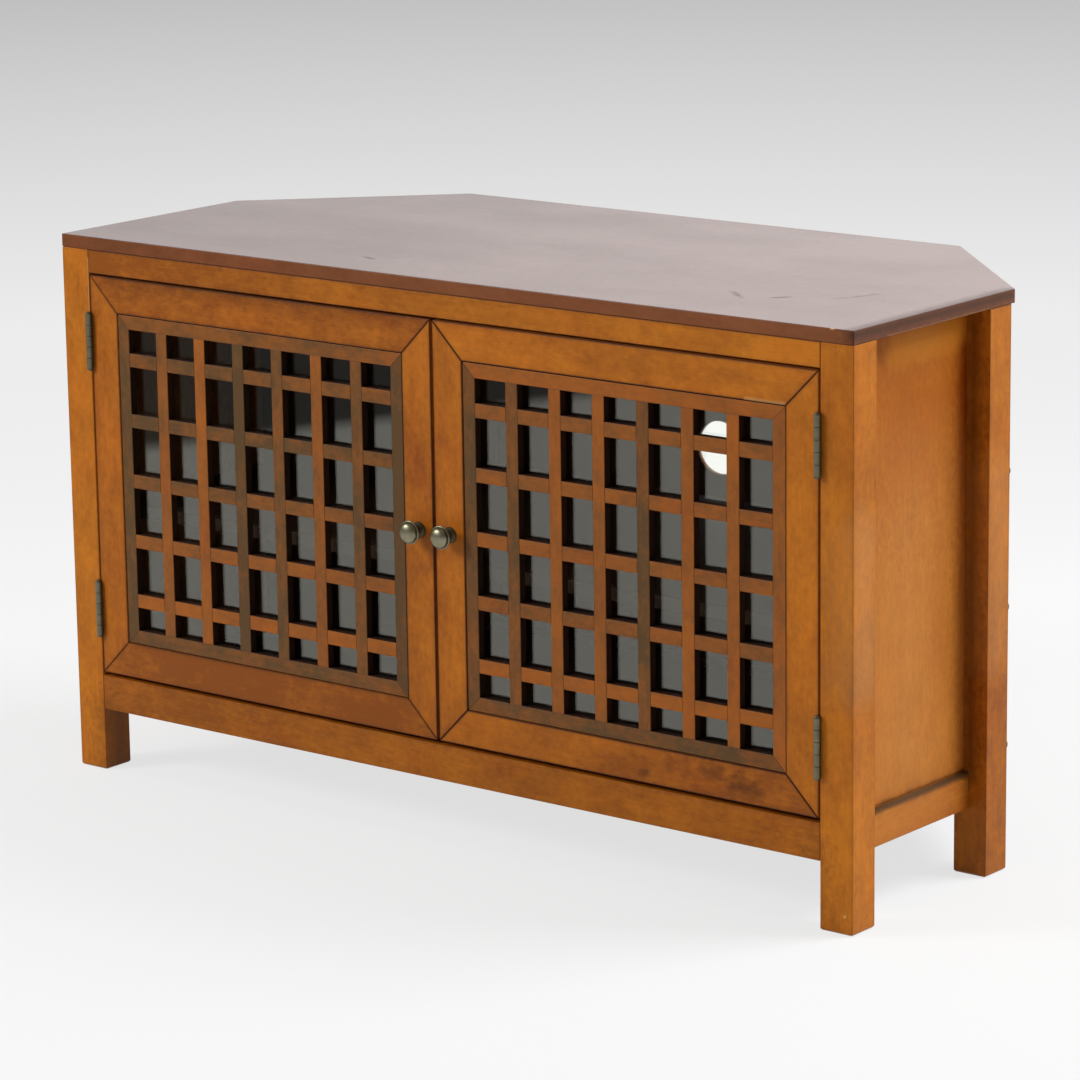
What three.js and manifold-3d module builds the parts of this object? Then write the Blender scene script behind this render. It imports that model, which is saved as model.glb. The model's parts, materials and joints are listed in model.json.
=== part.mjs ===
import * as THREE from "three";
import { mergeVertices } from "three/addons/utils/BufferGeometryUtils.js";
import Module from "manifold-3d";

// Corner cabinet for a television: a six-sided top on six square posts, with two glazed lattice doors.
// Lengths are in millimetres. X runs to the right, Y to the back and Z up.
// While the pieces are made, Y is 0 at the front faces of the posts and X is 0 between the doors.

const wasm = await Module();
wasm.setup();

// Whole cabinet, seen from above: a straight front, two short sides, two slanted corners and a back
const overallHeight = 637.5;
const frontWidth = 1110;
const backWidth = 707.5;
const overallDepth = 500.5;
const sideDepth = 298.5;

// Clearances
const seat = 0.3; // between two pieces that touch
const overrun = 5; // how far every cut runs past the wood

// Top and posts
const topThickness = 15;
const postSize = 41;
const footChamfer = 2.5;
const sidePostInset = 6.2; // from the top's side corner to the rear face of the side post

// Rails between the posts
const legHeight = 75;
const railHeight = 41;
const topRailHeight = 27.4;
const railThickness = 19;
const tenonThickness = 9;
const tenonShoulder = 5;
const tenonDepthShare = 0.42; // of the post

// Side panels
const sidePanelThickness = 9;
const sidePanelSetback = 28.5; // behind the outer faces of the posts

// Thin rear panels and the cleats that carry them
const rearPanelThickness = 5;
const rearPanelInset = 4.6; // inside the edge of the top
const cleatWidth = 30;
const cableHoleRadius = 32;
const cableHoleOffset = 27; // to the right of the middle
const cableHoleHeight = 369.5;
const cableHoleSides = 40;

// Floor and shelf
const floorThickness = 15;
const floorDrop = 10; // below the upper edge of the rails
const floorGrooveDepth = 6;
const shelfThickness = 15;
const shelfHeight = 322; // upper face
const shelfClearance = 3; // to the posts and panels
const shelfFrontGap = 6; // behind the doors

// Shelf pins, and the rows of holes that let the shelf move
const pinRadius = 2.5;
const pinReach = 11; // out of the post
const pinDepth = 10; // into the post
const pinCollarRadius = 4.5;
const pinCollarThickness = 1.4;
const pinInset = 5; // from the shelf's front edge to the pin's centre
const pinHolePitch = 32;
const pinHoleRows = 5;
const pinSides = 12;

// Doors
const doorThickness = 19;
const doorFrameWidth = 41;
const doorSideGap = 2;
const doorMeetingGap = 3;
const doorBottomGap = 4.6;
const doorTopGap = 2.4;
const rabbetWidth = 8;
const lipThickness = 6; // wood left in front of the rabbet

// Lattice of half-lapped bars
const latticeStrip = 16; // width of the border and of each bar
const latticeGap = 1; // around the border
const latticeRecess = 0.8; // behind the face of the door
const latticeDepth = 10;
const latticeColumns = 7;
const latticeRowShares = [0.5, 1, 1, 1, 1, 0.5]; // of a full opening, from the bottom

// Glass and the beads behind it
const glassThickness = 3;
const glassClearance = 1;
const beadThickness = 4;
const beadChamfer = 2;

// Knobs
const knobRadius = 13.5;
const knobReach = 24;
const knobRimThickness = 3;
const knobDomeShare = 0.3; // of the reach
const knobNeckRadius = 5.5;
const knobBaseRadius = 9;
const knobBaseThickness = 2.4;
const knobShankRadius = 2.2;
const knobShankLength = 14;
const knobSides = 36;
const knobDomeSteps = 6;

// Butt hinges
const hingeLength = 65;
const hingeInset = 77; // from the end of the door to the middle of the hinge
const hingeKnuckles = 5;
const knuckleRadius = 3.6;
const hingeProud = 4; // from the face of the door to the pin's centre
const leafThickness = 1.6;
const leafOffset = 0.3; // from the pin's centre line to the leaf
const leafReach = 16; // behind the face of the door
const hingePinRadius = 1.7;
const hingeCapRadius = 3.2;
const hingeCapHeight = 2.2;
const hingeSides = 24;
const hingeCapSteps = 4;

// Magnetic catch behind the top rail, and its strikes
const catchWidth = 52;
const catchCaseHeight = 16;
const catchCaseDepth = 15;
const catchPlateThickness = 2.5;
const catchPlateHeight = 20;
const strikeSize = 15;
const strikeThickness = 1.2;
const strikeInset = 4; // from the door's meeting edge

// Places worked out from the sizes above
const halfFront = frontWidth / 2;
const halfBack = backWidth / 2;
const underside = overallHeight - topThickness;
const postTop = underside - seat;
const postInner = halfFront - postSize;
const sidePostRear = sideDepth - sidePostInset;
const sidePostFront = sidePostRear - postSize;
const rearPanelDepth = rearPanelInset + rearPanelThickness;
const rearPostRear = overallDepth - rearPanelDepth - seat;
const rearPostFront = rearPostRear - postSize;
const rearPostOuter = slantX(rearPanelDepth + seat, rearPostRear);
const rearPostInner = rearPostOuter - postSize;
const railTop = legHeight + railHeight;
const topRailBottom = underside - topRailHeight;
const floorTop = railTop - floorDrop;
const floorBottom = floorTop - floorThickness;
const shelfBottom = shelfHeight - shelfThickness;
const shelfFront = doorThickness + shelfFrontGap;
const pinHeight = shelfBottom - seat - pinRadius;
const door = {
  outer: postInner - doorSideGap,
  meeting: doorMeetingGap / 2,
  bottom: railTop + doorBottomGap,
  top: topRailBottom - doorTopGap,
};
const opening = [
  [door.meeting + doorFrameWidth, door.outer - doorFrameWidth],
  [door.bottom + doorFrameWidth, door.top - doorFrameWidth],
];
const hinge = {
  x: postInner - doorSideGap / 2,
  y: -hingeProud,
  heights: { lower: door.bottom + hingeInset, upper: door.top - hingeInset },
};
const lapPlane = lipThickness + seat / 2;
const latticeBack = latticeRecess + latticeDepth;
const glassFront = latticeBack + seat;
const beadFront = glassFront + glassThickness + seat;
const knobHeight = (door.bottom + door.top) / 2;
const knobX = door.meeting + doorFrameWidth / 2;
const middleDepth = (overallDepth - knobReach - seat) / 2;

// Finishes
const finishes = {
  frameWood: { color: "#a5682f", roughness: 0.5, metalness: 0 },
  sideWood: { color: "#b27233", roughness: 0.5, metalness: 0 },
  topWood: { color: "#7d5c4a", roughness: 0.3, metalness: 0 },
  doorWood: { color: "#a2632f", roughness: 0.5, metalness: 0 },
  latticeWood: { color: "#8e5428", roughness: 0.5, metalness: 0 },
  hiddenWood: { color: "#b58a58", roughness: 0.7, metalness: 0 },
  glass: { color: "#9fb2b5", roughness: 0.05, metalness: 0, transparent: true, opacity: 0.35 },
  pewter: { color: "#8b857c", roughness: 0.35, metalness: 1 },
  hingeMetal: { color: "#565a50", roughness: 0.5, metalness: 1 },
  zinc: { color: "#b9bbb8", roughness: 0.35, metalness: 1 },
  catchPlastic: { color: "#5a3a22", roughness: 0.5, metalness: 0 },
};

// X and Y on a line that runs beside the top's slanted edge, at a distance inside it
function slantNormal() {
  return new THREE.Vector2(overallDepth - sideDepth, halfFront - halfBack).normalize();
}
function slantX(inside, y) {
  const normal = slantNormal();
  return halfFront - ((y - sideDepth) * normal.y + inside) / normal.x;
}
function slantY(inside, x) {
  const normal = slantNormal();
  return sideDepth + ((halfFront - x) * normal.x - inside) / normal.y;
}

// Geometry to solid and back
function toSolid(geometry) {
  const bare = geometry.index ? geometry.toNonIndexed() : geometry.clone();
  bare.deleteAttribute("normal");
  bare.deleteAttribute("uv");
  const merged = mergeVertices(bare, 1e-4);
  const mesh = new wasm.Mesh({
    numProp: 3,
    vertProperties: merged.attributes.position.array,
    triVerts: new Uint32Array(merged.index.array),
  });
  return new wasm.Manifold(mesh);
}
function toGeometry(solid) {
  const mesh = solid.getMesh();
  const geometry = new THREE.BufferGeometry();
  geometry.setAttribute("position", new THREE.BufferAttribute(mesh.vertProperties, 3));
  geometry.setIndex(new THREE.BufferAttribute(mesh.triVerts, 1));
  return geometry;
}

// A box is three ranges, [[low x, high x], [low y, high y], [low z, high z]]
function boxSolid(ranges) {
  const size = ranges.map(([low, high]) => high - low);
  const middle = ranges.map(([low, high]) => (low + high) / 2);
  return toSolid(new THREE.BoxGeometry(...size).translate(...middle));
}
function grown(ranges, gap) {
  return ranges.map(([low, high]) => [low - gap, high + gap]);
}

// An outline in X and Y, raised from low to high
function raised(points, low, high, hole) {
  const shape = new THREE.Shape(points.map(([x, y]) => new THREE.Vector2(x, y)));
  if (hole) shape.holes.push(hole);
  const options = { depth: high - low, bevelEnabled: false };
  return toSolid(new THREE.ExtrudeGeometry(shape, options).translate(0, 0, low));
}

// An outline in X and Z, carried from the front to the back
function carried(points, front, back) {
  const shape = new THREE.Shape(points.map(([x, z]) => new THREE.Vector2(x, z)));
  const options = { depth: back - front, bevelEnabled: false };
  return toSolid(new THREE.ExtrudeGeometry(shape, options).rotateX(Math.PI / 2).translate(0, back, 0));
}

// A profile of [radius, height] turned around an upright axis
function turned(profile, sides) {
  const points = profile.map(([radius, height]) => new THREE.Vector2(radius, height));
  return new THREE.LatheGeometry(points, sides).rotateX(Math.PI / 2);
}

// Points of a half dome, from its rim up to its crown
function domeProfile(radius, rise, base, steps) {
  return Array.from({ length: steps + 1 }, (_, step) => {
    const angle = ((step / steps) * Math.PI) / 2;
    return [step === steps ? 0 : radius * Math.cos(angle), base + rise * Math.sin(angle)];
  });
}

// The space between two rectangles, each given as [[low x, high x], [low z, high z]]
function ring(outer, inner, front, back) {
  const frame = boxSolid([outer[0], [front, back], outer[1]]);
  return frame.subtract(boxSolid([inner[0], [front - overrun, back + overrun], inner[1]]));
}

// One named mesh, with its own origin at a corner or centre of the piece
function addPiece(parent, name, shape, finish, at) {
  const geometry = shape.isBufferGeometry ? shape : toGeometry(shape);
  geometry.translate(-at[0], -at[1], -at[2]);
  geometry.computeVertexNormals();
  const mesh = new THREE.Mesh(geometry, new THREE.MeshStandardMaterial(finishes[finish]));
  mesh.name = name;
  mesh.position.set(at[0], at[1], at[2]).sub(parent.userData.origin ?? new THREE.Vector3());
  parent.add(mesh);
  return mesh;
}

// Tenons are boxes that start inside the rail and end inside the post.
// Each mortise is the same box, grown by the clearance.
const tenonLength = postSize * tenonDepthShare;
function crossTenon(side, face, middle, low, high) {
  const reach = [face - side * overrun, face + side * tenonLength].sort((a, b) => a - b);
  const width = [middle - tenonThickness / 2, middle + tenonThickness / 2];
  return [reach, width, [low + tenonShoulder, high - tenonShoulder]];
}
function sideTenon(side, face) {
  const reach = [face - side * overrun, face + side * tenonLength].sort((a, b) => a - b);
  const middle = postInner + railThickness / 2;
  const width = [middle - tenonThickness / 2, middle + tenonThickness / 2];
  return [width, reach, [legHeight + tenonShoulder, railTop - tenonShoulder]];
}
const frontMiddle = railThickness / 2;
const rearMiddle = rearPostRear - railThickness / 2;
const tenons = {
  frontTop: crossTenon(1, postInner, frontMiddle, topRailBottom, postTop),
  frontBottom: crossTenon(1, postInner, frontMiddle, legHeight, railTop),
  rearBottom: crossTenon(1, rearPostInner, rearMiddle, legHeight, railTop),
  sideFront: sideTenon(-1, postSize),
  sideRear: sideTenon(1, sidePostFront),
};
function mirroredRange(ranges) {
  return [[-ranges[0][1], -ranges[0][0]], ranges[1], ranges[2]];
}

// Square posts with chamfered feet
function postSolid(x, y, cuts) {
  const diagonal = postSize / Math.SQRT2;
  const foot = (postSize - 2 * footChamfer) / Math.SQRT2;
  const profile = [[0, 0], [foot, 0], [diagonal, footChamfer], [diagonal, postTop], [0, postTop]];
  const points = profile.map(([radius, height]) => new THREE.Vector2(radius, height));
  const square = new THREE.LatheGeometry(points, 4, Math.PI / 4).rotateX(Math.PI / 2);
  const post = toSolid(square.translate(x + postSize / 2, y + postSize / 2, 0));
  return cuts.reduce((wood, cut) => wood.subtract(cut), post);
}
function mortise(tenon) {
  return boxSolid(grown(tenon, seat));
}

// A column of shelf pin holes around the height of the shelf
function pinHoles(place) {
  return Array.from({ length: pinHoleRows }, (_, row) => {
    const height = pinHeight + (row - (pinHoleRows - 1) / 2) * pinHolePitch;
    const length = pinDepth + overrun;
    const hole = new THREE.CylinderGeometry(pinRadius + seat, pinRadius + seat, length, pinSides);
    return toSolid(place(hole.translate(0, (pinDepth - overrun) / 2, 0), height));
  });
}
// A pin or hole is made along +Y, into the post, and turned to the face that carries it
function intoFrontPost(geometry, height) {
  return geometry.rotateZ(-Math.PI / 2).translate(postInner, shelfFront + pinInset, height);
}
function intoRearPost(geometry, height) {
  return geometry.translate(rearPostInner + postSize / 2, rearPostFront, height);
}
function pinGeometry() {
  const collarEnd = -seat - pinCollarThickness;
  const profile = [
    [0, -pinReach],
    [pinRadius, -pinReach],
    [pinRadius, collarEnd],
    [pinCollarRadius, collarEnd],
    [pinCollarRadius, -seat],
    [pinRadius, -seat],
    [pinRadius, pinDepth - seat],
    [0, pinDepth - seat],
  ];
  const points = profile.map(([radius, along]) => new THREE.Vector2(radius, along));
  return new THREE.LatheGeometry(points, pinSides);
}

// Hinge recesses, cut alike in the post and in the edge of the door
function hingeRecess(height, side) {
  const near = hinge.x - side * overrun;
  const far = hinge.x + side * (leafOffset + leafThickness + seat);
  const width = [near, far].sort((a, b) => a - b);
  const reach = [-overrun, leafReach + seat];
  return boxSolid([width, reach, [height - hingeLength / 2 - seat, height + hingeLength / 2 + seat]]);
}

// Carcass pieces that stand across the middle
function topSolid() {
  const outline = [
    [-halfFront, 0],
    [halfFront, 0],
    [halfFront, sideDepth],
    [halfBack, overallDepth],
    [-halfBack, overallDepth],
    [-halfFront, sideDepth],
  ];
  return raised(outline, underside, overallHeight);
}
function crossRail(length, front, low, high, tenon) {
  const body = boxSolid([[-length, length], [front, front + railThickness], [low, high]]);
  return body.add(boxSolid(tenon)).add(boxSolid(mirroredRange(tenon)));
}
// Each rail is grooved inside for the floor, from shoulder to shoulder
function floorGroove(ranges) {
  return boxSolid([...ranges, [floorBottom - seat, floorTop + seat]]);
}
function frontBottomRail() {
  const length = postInner - seat;
  const depth = [railThickness - floorGrooveDepth, railThickness + overrun];
  const rail = crossRail(length, 0, legHeight, railTop, tenons.frontBottom);
  return rail.subtract(floorGroove([[-length, length], depth]));
}
function rearBottomRail() {
  const length = rearPostInner - seat;
  const front = rearPostRear - railThickness;
  const depth = [front - overrun, front + floorGrooveDepth];
  const rail = crossRail(length, front, legHeight, railTop, tenons.rearBottom);
  return rail.subtract(floorGroove([[-length, length], depth]));
}
function floorSolid() {
  const side = postInner - seat;
  const slant = rearPanelDepth + seat;
  const grooved = postInner + floorGrooveDepth - seat;
  const behind = sidePostRear + seat;
  const rear = rearPostFront - seat;
  const half = [
    [side, railThickness - floorGrooveDepth + seat],
    [side, postSize + seat],
    [grooved, postSize + seat],
    [grooved, sidePostFront - seat],
    [side, sidePostFront - seat],
    [side, behind],
    [slantX(slant, behind), behind],
    [slantX(slant, rear), rear],
    [rearPostInner - seat, rear],
    [rearPostInner - seat, rearPostRear - railThickness + floorGrooveDepth - seat],
  ];
  return raised(bothSides(half), floorBottom, floorTop);
}
function shelfSolid() {
  const side = postInner - shelfClearance;
  const slant = rearPanelDepth + shelfClearance;
  const rear = rearPostFront - shelfClearance;
  const half = [[side, shelfFront], [side, slantY(slant, side)], [slantX(slant, rear), rear]];
  return raised(bothSides(half), shelfBottom, shelfHeight);
}
function bothSides(half) {
  return [...half, ...half.map(([x, y]) => [-x, y]).reverse()];
}
function backPanelSolid() {
  const rear = overallDepth - rearPanelInset;
  const front = rear - rearPanelThickness;
  const half = [
    [slantX(rearPanelDepth, front) - seat, front],
    [slantX(rearPanelInset, rear) - seat, rear],
  ];
  const panel = raised(bothSides(half), legHeight, postTop);
  const length = rearPanelThickness + 2 * overrun;
  const round = new THREE.CylinderGeometry(cableHoleRadius, cableHoleRadius, length, cableHoleSides);
  const middle = (front + rear) / 2;
  return panel.subtract(toSolid(round.translate(cableHoleOffset, middle, cableHoleHeight)));
}
function catchSolid() {
  const front = doorThickness + strikeThickness + 2 * seat;
  const plateFront = railThickness + seat;
  const plateBack = Math.max(front, plateFront) + catchPlateThickness;
  const caseTop = topRailBottom - seat;
  const half = catchWidth / 2;
  const body = [[-half, half], [front, plateBack + catchCaseDepth], [caseTop - catchCaseHeight, caseTop]];
  const plate = [[-half, half], [plateFront, plateBack], [caseTop - seat, caseTop + catchPlateHeight]];
  return boxSolid(body).add(boxSolid(plate));
}

// Carcass pieces that come in pairs, made for the right-hand side
function sideRailSolid() {
  const width = [postInner, postInner + railThickness];
  const length = [postSize + seat, sidePostFront - seat];
  const body = boxSolid([width, length, [legHeight, railTop]]);
  const rail = body.add(boxSolid(tenons.sideFront)).add(boxSolid(tenons.sideRear));
  return rail.subtract(floorGroove([[postInner - overrun, postInner + floorGrooveDepth], length]));
}
function sidePanelRanges() {
  const outer = halfFront - sidePanelSetback;
  return [
    [outer - sidePanelThickness, outer],
    [postSize + seat, sidePostFront - seat],
    [railTop + seat, postTop],
  ];
}
function slantPanelSolid() {
  const start = sidePostRear + seat;
  const rear = overallDepth - rearPanelInset;
  const inner = rear - rearPanelThickness;
  const outline = [
    [slantX(rearPanelInset, start), start],
    [slantX(rearPanelInset, rear), rear],
    [slantX(rearPanelDepth, inner), inner],
    [slantX(rearPanelDepth, start), start],
  ];
  return raised(outline, legHeight, postTop);
}
function sideCleatSolid() {
  const slant = rearPanelDepth + seat;
  const start = sidePostRear + seat;
  const tip = slantX(slant, start);
  const inner = tip - cleatWidth;
  return raised([[tip, start], [inner, slantY(slant, inner)], [inner, start]], floorTop + seat, postTop);
}
function rearCleatSolid() {
  const slant = rearPanelDepth + seat;
  const inner = rearPostOuter + seat;
  const tip = slantY(slant, inner);
  const start = tip - cleatWidth;
  return raised([[inner, tip], [inner, start], [slantX(slant, start), start]], floorTop + seat, postTop);
}

// Door frame: four mitred members, with a rabbet behind for the lattice, glass and beads
function doorMembers() {
  const [[left, right], [low, high]] = opening;
  const mitre = seat * Math.SQRT2;
  const outlines = {
    hinge_stile: [
      [door.outer, door.bottom + mitre],
      [door.outer, door.top - mitre],
      [right, high - mitre],
      [right, low + mitre],
    ],
    meeting_stile: [
      [door.meeting, door.top - mitre],
      [door.meeting, door.bottom + mitre],
      [left, low + mitre],
      [left, high - mitre],
    ],
    top_rail: [[door.outer, door.top], [door.meeting, door.top], [left, high], [right, high]],
    bottom_rail: [[door.meeting, door.bottom], [door.outer, door.bottom], [right, low], [left, low]],
  };
  const [rabbetX, rabbetZ] = grown(opening, rabbetWidth);
  const rabbet = boxSolid([rabbetX, [lipThickness, doorThickness + overrun], rabbetZ]);
  const members = Object.entries(outlines).map(([name, outline]) => [
    name,
    carried(outline, 0, doorThickness).subtract(rabbet),
  ]);
  return Object.fromEntries(members);
}

// Lattice: the uprights run through in front and the crossbars behind, notched half way where they cross
const border = grown(opening, -latticeGap);
const latticeInside = grown(border, -latticeStrip);
function uprightPlaces() {
  const [left, right] = latticeInside[0];
  const pitch = (right - left + latticeStrip) / latticeColumns;
  return Array.from({ length: latticeColumns - 1 }, (_, i) => {
    const low = left + (i + 1) * pitch - latticeStrip;
    return [low, low + latticeStrip];
  });
}
function crossbarPlaces() {
  const [low, high] = latticeInside[1];
  const bars = latticeRowShares.length - 1;
  const shares = latticeRowShares.reduce((sum, share) => sum + share);
  const unit = (high - low - bars * latticeStrip) / shares;
  let start = low;
  return latticeRowShares.slice(0, bars).map((share) => {
    const bar = start + share * unit;
    start = bar + latticeStrip;
    return [bar, start];
  });
}
function uprightsSolid() {
  const [insideX, insideZ] = latticeInside;
  const frontHalf = [latticeRecess, lapPlane - seat / 2];
  let lattice = ring(border, latticeInside, ...frontHalf);
  for (const place of uprightPlaces()) {
    lattice = lattice.add(boxSolid([place, frontHalf, [insideZ[0] - overrun, insideZ[1] + overrun]]));
    const behind = [insideZ[0] + seat, insideZ[1] - seat];
    lattice = lattice.add(boxSolid([place, [latticeRecess, latticeBack], behind]));
  }
  const notch = [lapPlane - seat / 2, latticeBack + overrun];
  for (const place of crossbarPlaces())
    lattice = lattice.subtract(boxSolid([insideX, notch, [place[0] - seat, place[1] + seat]]));
  return lattice;
}
function crossbarsSolid() {
  const [insideX, insideZ] = latticeInside;
  const rearHalf = [lapPlane + seat / 2, latticeBack];
  let lattice = ring(grown(opening, rabbetWidth - latticeGap), latticeInside, ...rearHalf);
  for (const place of crossbarPlaces()) {
    lattice = lattice.add(boxSolid([[insideX[0] - overrun, insideX[1] + overrun], rearHalf, place]));
    const between = [insideX[0] + seat, insideX[1] - seat];
    lattice = lattice.add(boxSolid([between, [latticeRecess, latticeBack], place]));
  }
  const notch = [-overrun, lapPlane + seat / 2];
  for (const place of uprightPlaces())
    lattice = lattice.subtract(boxSolid([[place[0] - seat, place[1] + seat], notch, insideZ]));
  return lattice;
}

function glassRanges() {
  const [width, height] = grown(opening, rabbetWidth - glassClearance);
  return [width, [glassFront, glassFront + glassThickness], height];
}

// Beads: a mitred border behind the glass, its rear inner edge chamfered
function beadsSolid() {
  const outer = grown(opening, rabbetWidth - seat);
  const back = beadFront + beadThickness;
  const plain = ring(outer, opening, beadFront, back);
  return plain.subtract(frustum(opening, beadChamfer, back));
}
// A rectangle that grows by the chamfer towards the back, both ways alike
function frustum(rectangle, chamfer, back) {
  const [width, height] = rectangle.map(([low, high]) => high - low);
  const middle = rectangle.map(([low, high]) => (low + high) / 2);
  const square = new THREE.CylinderGeometry(1, 0, 1, 4, 1).rotateY(Math.PI / 4);
  const unit = square.scale(Math.SQRT2, 1, Math.SQRT2).translate(0, 1 / 2, 0);
  // The pyramid's walls lean by one for one, so its rear face reaches the chamfer on every side
  const places = unit.attributes.position;
  for (let i = 0; i < places.count; i += 1) {
    const wide = places.getY(i) * 2 - 1;
    const x = middle[0] + Math.sign(places.getX(i)) * (width / 2 + chamfer * wide);
    const z = middle[1] + Math.sign(places.getZ(i)) * (height / 2 + chamfer * wide);
    places.setXYZ(i, x, back + chamfer * (places.getY(i) * 2 - 1), z);
  }
  return toSolid(unit);
}

// Knob: shank, base, neck, cup and domed face, turned around an axis that points to the front
function knobGeometry() {
  const dome = knobReach * knobDomeShare;
  const rim = knobReach - dome;
  const cup = rim - knobRimThickness;
  const profile = [
    [0, -knobShankLength],
    [knobShankRadius, -knobShankLength],
    [knobShankRadius, 0],
    [knobBaseRadius, 0],
    [knobBaseRadius, knobBaseThickness],
    [knobNeckRadius, knobBaseThickness + (cup - knobBaseThickness) / 4],
    [knobNeckRadius, knobBaseThickness + (cup - knobBaseThickness) / 2],
    [(knobNeckRadius + knobRadius) / 2, cup - knobBaseThickness / 2],
    [knobRadius, cup],
    [knobRadius, rim],
    ...domeProfile(knobRadius - knobRimThickness / 2, dome, rim, knobDomeSteps),
  ];
  const at = [knobX, -seat, knobHeight];
  return turned(profile, knobSides).rotateX(Math.PI / 2).translate(...at);
}
function knobHole() {
  const radius = knobShankRadius + seat;
  const length = knobShankLength + seat + overrun;
  const hole = new THREE.CylinderGeometry(radius, radius, length, knobSides);
  const middle = (knobShankLength + seat - overrun) / 2;
  return toSolid(hole.translate(knobX, middle, knobHeight));
}

// Hinge: two leaves with knuckles that share one pin
function knuckleRanges(height, own) {
  const low = height - hingeLength / 2;
  const each = hingeLength / hingeKnuckles;
  return Array.from({ length: hingeKnuckles }, (_, i) => i)
    .filter((i) => i % 2 === own)
    .map((i) => [low + i * each, low + (i + 1) * each]);
}
function hingeRound(radius, [low, high]) {
  const round = new THREE.CylinderGeometry(radius, radius, high - low, hingeSides);
  return toSolid(round.rotateX(Math.PI / 2).translate(hinge.x, hinge.y, (low + high) / 2));
}
function leafSolid(height, side, own) {
  const near = hinge.x + side * leafOffset;
  const width = [near, near + side * leafThickness].sort((a, b) => a - b);
  const ends = [height - hingeLength / 2, height + hingeLength / 2];
  let leaf = boxSolid([width, [hinge.y, leafReach], ends]);
  for (const range of knuckleRanges(height, 1 - own))
    leaf = leaf.subtract(hingeRound(knuckleRadius + 2 * seat, [range[0] - seat / 2, range[1] + seat / 2]));
  for (const range of knuckleRanges(height, own))
    leaf = leaf.add(hingeRound(knuckleRadius, [range[0] + seat / 2, range[1] - seat / 2]));
  return leaf.subtract(hingeRound(hingePinRadius + seat, [ends[0] - overrun, ends[1] + overrun]));
}
function hingePinGeometry(height) {
  const half = hingeLength / 2;
  const base = half + seat;
  const cap = domeProfile(hingeCapRadius, hingeCapHeight, base, hingeCapSteps);
  const lowerCap = cap.map(([radius, along]) => [radius, -along]).reverse();
  const profile = [...lowerCap, [hingePinRadius, -base], [hingePinRadius, base], ...cap];
  return turned(profile, hingeSides).translate(hinge.x, hinge.y, height);
}

function strikeRanges() {
  const left = door.meeting + strikeInset;
  const top = topRailBottom - seat - (catchCaseHeight - strikeSize) / 2;
  const front = doorThickness + seat;
  return [[left, left + strikeSize], [front, front + strikeThickness], [top - strikeSize, top]];
}

// Assembly: the whole stands on the floor, with its origin under the middle of its outer box
const cabinet = new THREE.Group();
cabinet.position.set(0, -middleDepth, 0);

addPiece(cabinet, "top_panel", topSolid(), "topWood", [0, 0, underside]);
const frontTopRail = crossRail(postInner - seat, 0, topRailBottom, postTop, tenons.frontTop);
addPiece(cabinet, "front_top_rail", frontTopRail, "frameWood", [0, 0, topRailBottom]);
addPiece(cabinet, "front_bottom_rail", frontBottomRail(), "frameWood", [0, 0, legHeight]);
addPiece(cabinet, "rear_bottom_rail", rearBottomRail(), "hiddenWood", [0, rearPostRear, legHeight]);
addPiece(cabinet, "floor_panel", floorSolid(), "hiddenWood", [0, 0, floorBottom]);
addPiece(cabinet, "shelf", shelfSolid(), "hiddenWood", [0, shelfFront, shelfBottom]);
addPiece(cabinet, "back_panel", backPanelSolid(), "hiddenWood", [0, overallDepth, legHeight]);
addPiece(cabinet, "magnetic_catch", catchSolid(), "catchPlastic", [0, railThickness, topRailBottom]);

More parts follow.
